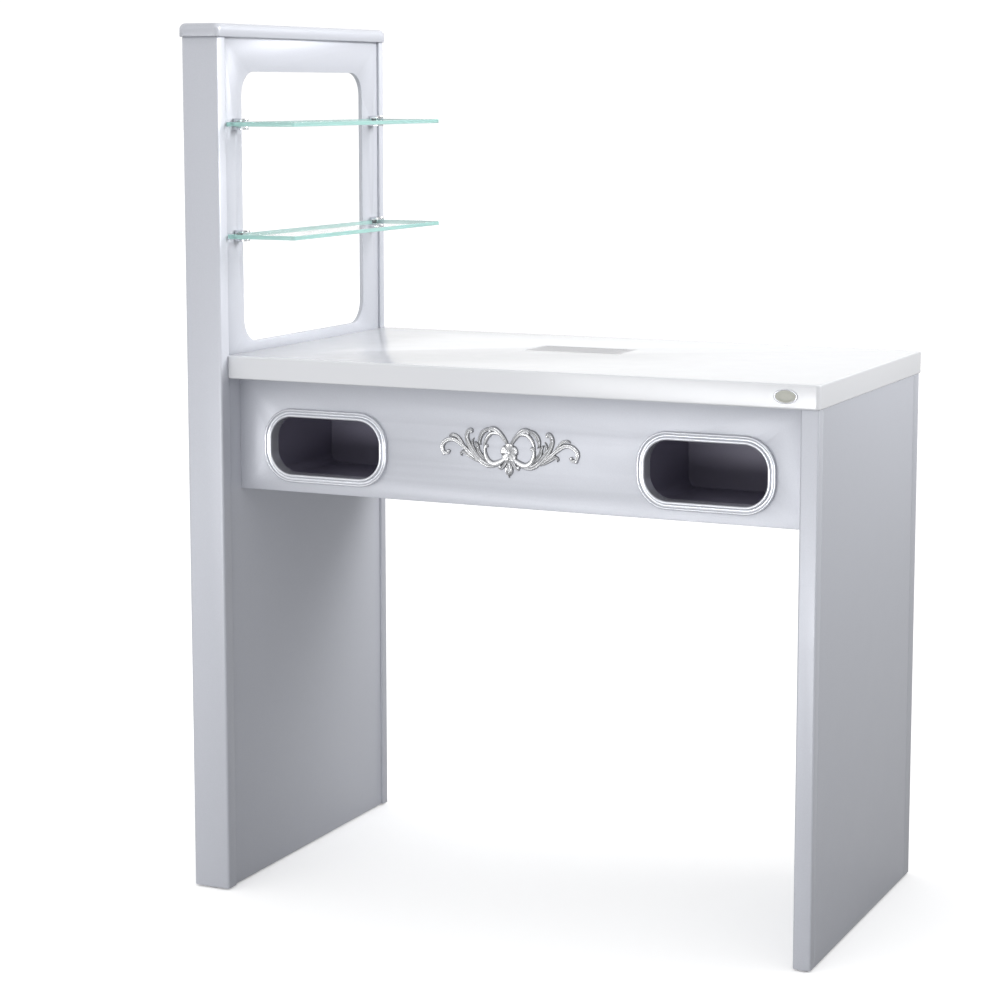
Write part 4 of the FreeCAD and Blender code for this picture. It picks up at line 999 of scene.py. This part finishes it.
def build_blade(hub, tip, thick, chord):
    """One swept and twisted blade, as a thin closed plate."""
    bm = bmesh.new()
    spans, chords = BLADE_SPANS, BLADE_CHORDS
    sheets = {1: [], -1: []}
    for i in range(spans + 1):
        t = i / spans
        radius = hub + (tip - hub) * t
        pitch = math.radians(ROOT_PITCH - PITCH_LOSS * t)
        sweep = math.radians(TIP_SWEEP * t * t)
        for side in (1, -1):
            row = []
            for k in range(chords + 1):
                s = k / chords - 0.5
                along = chord * (ROOT_CHORD + CHORD_GROWTH * t) * s
                camber = CAMBER * chord * (1 - 4 * s * s)
                skin = side * BLADE_SKIN * max(SKIN_AT_EDGE, 1 - 4 * s * s)
                turn = sweep + along * math.cos(pitch) / radius
                height = along * math.sin(pitch) + camber + skin
                row.append(bm.verts.new((radius * math.cos(turn), radius * math.sin(turn),
                                         max(-thick / 2, min(thick / 2, height)))))
            sheets[side].append(row)
    top, under = sheets[1], sheets[-1]
    for i in range(spans):
        for k in range(chords):
            bm.faces.new((top[i][k], top[i + 1][k], top[i + 1][k + 1], top[i][k + 1]))
            bm.faces.new((under[i][k], under[i][k + 1], under[i + 1][k + 1], under[i + 1][k]))
        for k in (0, chords):
            bm.faces.new((top[i][k], top[i + 1][k], under[i + 1][k], under[i][k]))
    for i in (0, spans):
        for k in range(chords):
            bm.faces.new((top[i][k], top[i][k + 1], under[i][k + 1], under[i][k]))
    bmesh.ops.recalc_face_normals(bm, faces=bm.faces)
    return link("blade", shaded(mesh_of(bm), 50))


def build_rotor(node, body, frame_node, blades, along):
    """A moulded hub with its blades, about the middle of the fan frame."""
    low, high, _ = box_of(node)
    _, _, middle = box_of(frame_node)
    along_y = along == "Y"
    axis = 1 if along_y else 2
    thick = high[axis] - low[axis]
    reach = max(high.x - middle.x, middle.x - low.x) - TIP_CLEARANCE
    hub = HUB_SHARE * reach
    half = thick / 2
    dome = turned([(hub * r, half * h) for r, h in HUB_PROFILE], 40)
    blade = build_blade(hub * BLADE_ROOT, reach, thick * BLADE_DEPTH, CHORD_SHARE * reach)
    mesh = grown(dome, "wheel", {"Blade": blade, "Count": blades,
                                 "Material": finish_of("black_plastic")}, blade)
    if along_y:
        mesh.transform(Matrix.Rotation(math.radians(-90), 4, "X"))
    centre = middle.copy()
    centre[axis] = (low[axis] + high[axis]) / 2
    mesh.transform(Matrix.Translation(centre))
    as_piece(f"{node}_piece", shaded(mesh, 40), body, "black_plastic", (node,))


def build_guard(node):
    """A finger guard of wire rings on crossed struts."""
    low, high, middle = box_of(node)
    wire = sizes().guard_wire
    reach = (high.x - low.x) / 2 - wire
    bm = bmesh.new()
    for turn in range(GUARD_SPOKES):
        spoke = bmesh.new()
        slab(spoke, (SPOKE_START * reach, -wire, -wire * 1.2), (reach, wire, wire * 0.2))
        mesh = mesh_of(spoke)
        mesh.transform(Matrix.Rotation(math.pi / 4 + turn * 2 * math.pi / GUARD_SPOKES, 4, "Z"))
        bm.from_mesh(mesh)
        bpy.data.meshes.remove(mesh)
    first = FIRST_RING * reach
    mesh = grown(mesh_of(bm), "guard",
                 {"Count": GUARD_RINGS, "First Radius": first,
                  "Gap": (reach - first) / (GUARD_RINGS - 1), "Wire": wire,
                  "Material": finish_of("steel")})
    mesh.transform(Matrix.Translation(middle))
    as_piece(f"{node}_piece", shaded(mesh, 50), "cabinet", "steel", (node,))


# ---------------------------------------------------------------- grille and louvre
GRILLE_RIM, GRILLE_RIM_EASE = 7 * MM, 0.5 * MM
BAR_START, BAR_END = 0.5, 1.02
BAR_TUCK, BAR_LIFT, BAR_SINK, BAR_EASE = 0.5 * MM, 0.6 * MM, 0.15 * MM, 0.3 * MM
LOUVRE_RIM, LOUVRE_RIM_EASE = 5 * MM, 0.8 * MM
LOUVRE_SLATS, SLAT_TILT = 7, -38
SLAT_START, SLAT_END = 0.35, 0.55
SLAT_TUCK, SLAT_BEHIND, SLAT_AHEAD, SLAT_EASE = 0.4 * MM, 1.5 * MM, 3.2 * MM, 0.4 * MM


def build_grille():
    """The grille over the filter: a rim with a row of bars across it."""
    low, high, _ = box_of("dust_grille")
    rim, count = GRILLE_RIM, sizes().grille_bars
    step = (high.x - low.x - 2 * rim) / (count + BAR_START)
    bar = bar_object((low.x + rim + BAR_START * step, low.y + rim - BAR_TUCK, low.z + BAR_LIFT),
                     (low.x + rim + BAR_END * step, high.y - rim + BAR_TUCK, high.z - BAR_SINK),
                     BAR_EASE)
    mesh = grown(eased(frame_mesh(low, high, rim, "Z"), GRILLE_RIM_EASE), "row",
                 {"Bar": bar, "Count": count, "Start": (0, 0, 0), "Step": (step, 0, 0),
                  "Material": finish_of("grey_plastic")}, bar)
    as_piece("dust_grille_piece", mesh, "dust_cartridge", "grey_plastic", ("dust_grille",))


def build_louvre():
    """The outlet behind: a rim with a stack of tilted slats."""
    low, high, _ = box_of("exhaust_louvre")
    rim = LOUVRE_RIM
    step = (high.z - low.z - 2 * rim) / LOUVRE_SLATS
    slat = bar_object(
        (low.x + rim - SLAT_TUCK, low.y + SLAT_BEHIND, low.z + rim + SLAT_START * step),
        (high.x - rim + SLAT_TUCK, high.y - SLAT_AHEAD, low.z + rim + SLAT_END * step),
        SLAT_EASE, math.radians(SLAT_TILT))
    mesh = grown(eased(frame_mesh(low, high, rim, "Y"), LOUVRE_RIM_EASE), "row",
                 {"Bar": slat, "Count": LOUVRE_SLATS, "Start": (0, 0, 0), "Step": (0, 0, step),
                  "Material": finish_of("grey_plastic")}, slat)
    as_piece("exhaust_louvre_piece", mesh, "cabinet", "grey_plastic", ("exhaust_louvre",))


# ---------------------------------------------------------------- glass
GLASS_ARRIS = 0.7 * MM
FLAT_FACE = 0.97


def build_glass(node):
    """A shelf with clear faces, and a green tint where its edges are seen."""
    mesh = eased_copy(node, GLASS_ARRIS)
    mesh.materials.append(finish_of("glass"))
    mesh.materials.append(finish_of("glass_edge"))
    for polygon in mesh.polygons:
        polygon.material_index = 0 if abs(polygon.normal.z) > FLAT_FACE else 1
    as_piece(f"{node}_piece", mesh, "cabinet", "glass", (node,), ("glass", "glass_edge"))


# ---------------------------------------------------------------- operators
# How far each kind of piece is eased, as a share of the edge ease or the fine ease.
LEG_EASE, CARCASS_EASE, CLIP_EASE, SLIDE_EASE = 0.6, 0.5, 1.5, 0.5


class MANICURE_OT_tower(bpy.types.Operator):
    """Build the post, panels, rail and cap of the display tower"""

    bl_idname = "manicure.tower"
    bl_label = "Display tower"

    def execute(self, context):
        ease_parts(("tower_front_post", "tower_rear_stile", "tower_lower_panel",
                    "tower_display_panel", "tower_top_rail", "tower_cap"), sizes().edge_ease)
        return {"FINISHED"}


class MANICURE_OT_right_leg(bpy.types.Operator):
    """Build the right-hand leg panel and its edge strips"""

    bl_idname = "manicure.right_leg"
    bl_label = "Right leg"

    def execute(self, context):
        ease_parts(("right_leg_front_strip", "right_leg_panel", "right_leg_rear_strip"),
                   sizes().edge_ease * LEG_EASE)
        return {"FINISHED"}


class MANICURE_OT_worktop(bpy.types.Operator):
    """Build the gloss worktop"""

    bl_idname = "manicure.worktop"
    bl_label = "Worktop"

    def execute(self, context):
        ease_parts(("worktop",), sizes().edge_ease)
        return {"FINISHED"}


class MANICURE_OT_carcass(bpy.types.Operator):
    """Build the apron, boards and fascia under the worktop"""

    bl_idname = "manicure.carcass"
    bl_label = "Carcass boards"

    def execute(self, context):
        ease_parts(("front_apron", "bottom_board", "left_divider", "right_divider",
                    "rear_fascia"), sizes().edge_ease * CARCASS_EASE)
        return {"FINISHED"}


class MANICURE_OT_hand_ports(bpy.types.Operator):
    """Build the beaded port trims and the dark bays behind them"""

    bl_idname = "manicure.hand_ports"
    bl_label = "Hand ports"

    def execute(self, context):
        for side in ("left", "right"):
            build_port_trim(f"{side}_port_trim")
        for side in ("left", "right"):
            node = f"{side}_bay_shell"
            as_piece(f"{node}_piece", eased_copy(node, sizes().fine_ease), "cabinet",
                     "black_plastic", (node,), ("bay_black",))
        return {"FINISHED"}


class MANICURE_OT_ornament(bpy.types.Operator):
    """Build the carved scroll and the plain oval badge"""

    bl_idname = "manicure.ornament"
    bl_label = "Ornament and badge"

    def execute(self, context):
        build_scroll()
        build_badge()
        return {"FINISHED"}


class MANICURE_OT_glass_shelves(bpy.types.Operator):
    """Build the glass shelves and their chrome clips"""

    bl_idname = "manicure.glass_shelves"
    bl_label = "Glass shelves"

    def execute(self, context):
        for level in ("lower", "upper"):
            build_glass(f"{level}_glass_shelf")
            ease_parts((f"{level}_front_clip", f"{level}_rear_clip"),
                       sizes().fine_ease * CLIP_EASE)
        return {"FINISHED"}


class MANICURE_OT_fans(bpy.types.Operator):
    """Build the rotors, frames and guards of the fans"""

    bl_idname = "manicure.fans"
    bl_label = "Fans"

    def execute(self, context):
        for side in ("left", "right"):
            build_rotor(f"{side}_fan_rotor", f"{side}_fan", f"{side}_fan_frame",
                        sizes().fan_blades, "Z")
            build_guard(f"{side}_fan_guard")
        build_rotor("dust_fan_rotor", "dust_fan", "dust_fan_frame", sizes().fan_blades, "Y")
        ease_parts(("left_fan_frame", "right_fan_frame", "dust_fan_frame"), sizes().fine_ease)
        return {"FINISHED"}


class MANICURE_OT_dust_extractor(bpy.types.Operator):
    """Build the dust grille with its filter cartridge"""

    bl_idname = "manicure.dust_extractor"
    bl_label = "Dust extractor"

    def execute(self, context):
        build_grille()
        ease_parts(("filter_frame", "filter_pad"), sizes().fine_ease, "dust_cartridge")
        ease_parts(("dust_plenum",), sizes().fine_ease)
        return {"FINISHED"}


class MANICURE_OT_services(bpy.types.Operator):
    """Build the exhaust louvre, switches, inlet and fan supply"""

    bl_idname = "manicure.services"
    bl_label = "Services"

    def execute(self, context):
        build_louvre()
        ease_parts(("dryer_switch_bezel", "extractor_switch_bezel", "power_inlet",
                    "fan_supply"), sizes().fine_ease)
        for kind in ("dryer", "extractor"):
            ease_parts((f"{kind}_switch_rocker",), sizes().fine_ease, f"{kind}_rocker")
        return {"FINISHED"}


class MANICURE_OT_drawers(bpy.types.Operator):
    """Build the two rear drawers with their slides"""

    bl_idname = "manicure.drawers"
    bl_label = "Drawers"

    def execute(self, context):
        for side in ("left", "right"):
            body = f"{side}_drawer"
            ease_parts((f"{side}_drawer_front",), sizes().edge_ease, body)
            ease_parts((f"{side}_drawer_box",), sizes().fine_ease, body)
            ease_parts((f"{side}_drawer_slides",), sizes().fine_ease * SLIDE_EASE, body)
            ease_parts((f"{side}_drawer_runners",), sizes().fine_ease * SLIDE_EASE)
        return {"FINISHED"}


class MANICURE_OT_carried_parts(bpy.types.Operator):
    """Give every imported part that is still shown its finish"""

    bl_idname = "manicure.carried_parts"
    bl_label = "Carried parts"

    def execute(self, context):
        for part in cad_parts.values():
            if part.hide_render:
                continue
            for i, given in enumerate(part.data.materials):
                part.material_slots[i].material = finish_of(given.name.split(".")[0])
        return {"FINISHED"}


# ---------------------------------------------------------------- stage
FLOOR_REACH, FLOOR_GAP = 60, 0.5 * MM
FLOOR_BOUNCE = (0.56, 0.56, 0.565, 1)
FLOOR_GLOW = 0.26
SKY_STRENGTH, SIDE_DIM, TOP_DIM = 1.06, 0.80, 0.16
CAMERA_LENS, CAMERA_SHIFT, CAMERA_REACH = 90.83, -0.08, 100
CAMERA_PLACE, CAMERA_TURN = (1.4435, -3.3138, 1.1571), (82.5435, 0.0219, 24.8145)
# Each soft box: name, place, aim, width and height in metres, watts, and spread if narrow.
SOFTBOXES = [
    ("front_softbox", (-1.2, -3.2, 3.2), (0, 0, 0.7), 2.4, 1.6, 5.5),
    ("top_softbox", (0.2, -0.3, 3.6), (0, 0, 0.6), 2.8, 2.2, 3),
    ("low_softbox", (-0.3, -3.3, 0.22), (-0.1, 0, 0.22), 3.2, 0.4, 9.5, 80),
    ("tower_softbox", (1.9, 0.9, 2.0), (-0.41, 0.05, 1.08), 1.7, 1.1, 9.0, 50),
]


def area_light(name, place, aim, width, height, power, spread_angle=180):
    """A soft box at a place, turned toward what it lights."""
    lamp = bpy.data.lights.new(name, "AREA")
    lamp.shape = "RECTANGLE"
    lamp.size, lamp.size_y = width, height
    lamp.energy = power
    lamp.spread = math.radians(spread_angle)
    made = bpy.data.objects.new(name, lamp)
    bpy.context.scene.collection.objects.link(made)
    made.location = place
    made.rotation_euler = (Vector(aim) - Vector(place)).to_track_quat("-Z", "Y").to_euler()
    return made


def calm_floor(material):
    """Keep the floor white to look at but softer in what it throws back on the table."""
    tree = material.node_tree
    shader = next(n for n in tree.nodes if n.type == "BSDF_PRINCIPLED")
    seen = tree.nodes.new("ShaderNodeLightPath").outputs["Is Camera Ray"]
    painted = shader.inputs["Base Color"].links[0].from_socket
    tree.links.new(mix_colour(tree, "MIX", seen, FLOOR_BOUNCE, painted),
                   shader.inputs["Base Color"])
    tree.links.new(mix_colour(tree, "MIX", seen, (0.0, 0.0, 0.0, 1), (1.0, 1.0, 1.0, 1)),
                   shader.inputs["Emission Color"])


def build_floor():
    """A wide pale floor just under the glides."""
    bm = bmesh.new()
    bmesh.ops.create_grid(bm, x_segments=2, y_segments=2, size=FLOOR_REACH)
    mesh = mesh_of(bm, "floor")
    mesh.transform(Matrix.Translation((0, 0, -FLOOR_GAP)))
    floor = link("studio_floor", mesh)
    mesh.materials.append(finish(
        "studio_floor", "grain",
        {"Color": solid(colours().floor), "Shade": 0.01, "Roughness": 0.8, "Scale": 90.0},
        {"Metallic": 0.0, "Specular IOR Level": 0.1, "Emission Color": (1.0, 1.0, 1.0, 1),
         "Emission Strength": FLOOR_GLOW},
        bump=(0.02, 0.0001)))
    calm_floor(mesh.materials[0])


def ramp(tree, value, start, end, low, high):
    """A value run from one bound to another between two directions of the sky."""
    made = put(tree, "ShaderNodeMapRange", From_Min=start, From_Max=end, To_Min=low,
               To_Max=high)
    tree.links.new(value, made.inputs["Value"])
    return made.outputs[0]


def build_sky():
    """A white surround that lights the right-hand side and the top a little less."""
    world = bpy.data.worlds.new("studio")
    world.use_nodes = True
    tree = world.node_tree
    sky = next(n for n in tree.nodes if n.type == "BACKGROUND")
    sky.inputs["Color"].default_value = (1.0, 1.0, 1.0, 1)
    toward = put(tree, "ShaderNodeSeparateXYZ")
    tree.links.new(put(tree, "ShaderNodeTexCoord").outputs["Generated"], toward.inputs[0])
    side = ramp(tree, toward.outputs["X"], 0.02, 0.60, 0.0, SIDE_DIM)
    low = ramp(tree, toward.outputs["Z"], 0.05, 0.5, 1.0, 0.0)
    high = ramp(tree, toward.outputs["Z"], 0.35, 0.95, 0.0, TOP_DIM)
    dim = math_node(tree, "ADD", math_node(tree, "MULTIPLY", side, low), high)
    seen = tree.nodes.new("ShaderNodeLightPath").outputs["Is Camera Ray"]
    dim = math_node(tree, "MULTIPLY", dim, math_node(tree, "SUBTRACT", 1.0, seen))
    tree.links.new(math_node(tree, "SUBTRACT", SKY_STRENGTH, dim), sky.inputs["Strength"])
    bpy.context.scene.world = world


def build_camera():
    """A long lens ahead and to the right of the table, looking a little down."""
    lens = bpy.data.cameras.new("studio_camera")
    lens.lens = CAMERA_LENS
    lens.shift_y = CAMERA_SHIFT
    lens.clip_end = CAMERA_REACH
    camera = link("studio_camera", lens)
    camera.location = CAMERA_PLACE
    camera.rotation_euler = [math.radians(turn) for turn in CAMERA_TURN]
    bpy.context.scene.camera = camera


class MANICURE_OT_stage(bpy.types.Operator):
    """Build the pale floor, the soft studio light and the camera"""

    bl_idname = "manicure.stage"
    bl_label = "Stage"

    def execute(self, context):
        build_floor()
        build_sky()
        for values in SOFTBOXES:
            area_light(*values)
        build_camera()
        bpy.context.scene.view_settings.view_transform = "Standard"
        return {"FINISHED"}


OPERATORS = (MANICURE_OT_tower, MANICURE_OT_right_leg, MANICURE_OT_worktop,
             MANICURE_OT_carcass, MANICURE_OT_hand_ports, MANICURE_OT_ornament,
             MANICURE_OT_glass_shelves, MANICURE_OT_fans, MANICURE_OT_dust_extractor,
             MANICURE_OT_services, MANICURE_OT_drawers, MANICURE_OT_carried_parts,
             MANICURE_OT_stage)


class MANICURE_PT_panel(bpy.types.Panel):
    """Lists the sizes, colours and building steps"""

    bl_idname = "MANICURE_PT_panel"
    bl_label = "Manicure Table"
    bl_space_type = "VIEW_3D"
    bl_region_type = "UI"
    bl_category = "Manicure Table"

    def draw(self, context):
        layout = self.layout
        for group in (context.scene.manicure_sizes, context.scene.manicure_colours):
            column = layout.box().column()
            for key in group.__annotations__:
                column.prop(group, key)
        for operator in OPERATORS:
            layout.operator(operator.bl_idname)


CLASSES = (ManicureSizes, ManicureColours, *OPERATORS, MANICURE_PT_panel)


def register():
    for kind in CLASSES:
        bpy.utils.register_class(kind)
    bpy.types.Scene.manicure_sizes = PointerProperty(type=ManicureSizes)
    bpy.types.Scene.manicure_colours = PointerProperty(type=ManicureColours)


def unregister():
    del bpy.types.Scene.manicure_colours
    del bpy.types.Scene.manicure_sizes
    for kind in reversed(CLASSES):
        bpy.utils.unregister_class(kind)


def main():
    register()
    for operator in OPERATORS:
        getattr(bpy.ops.manicure, operator.bl_idname.split(".")[1])()


if __name__ == "__main__":
    main()
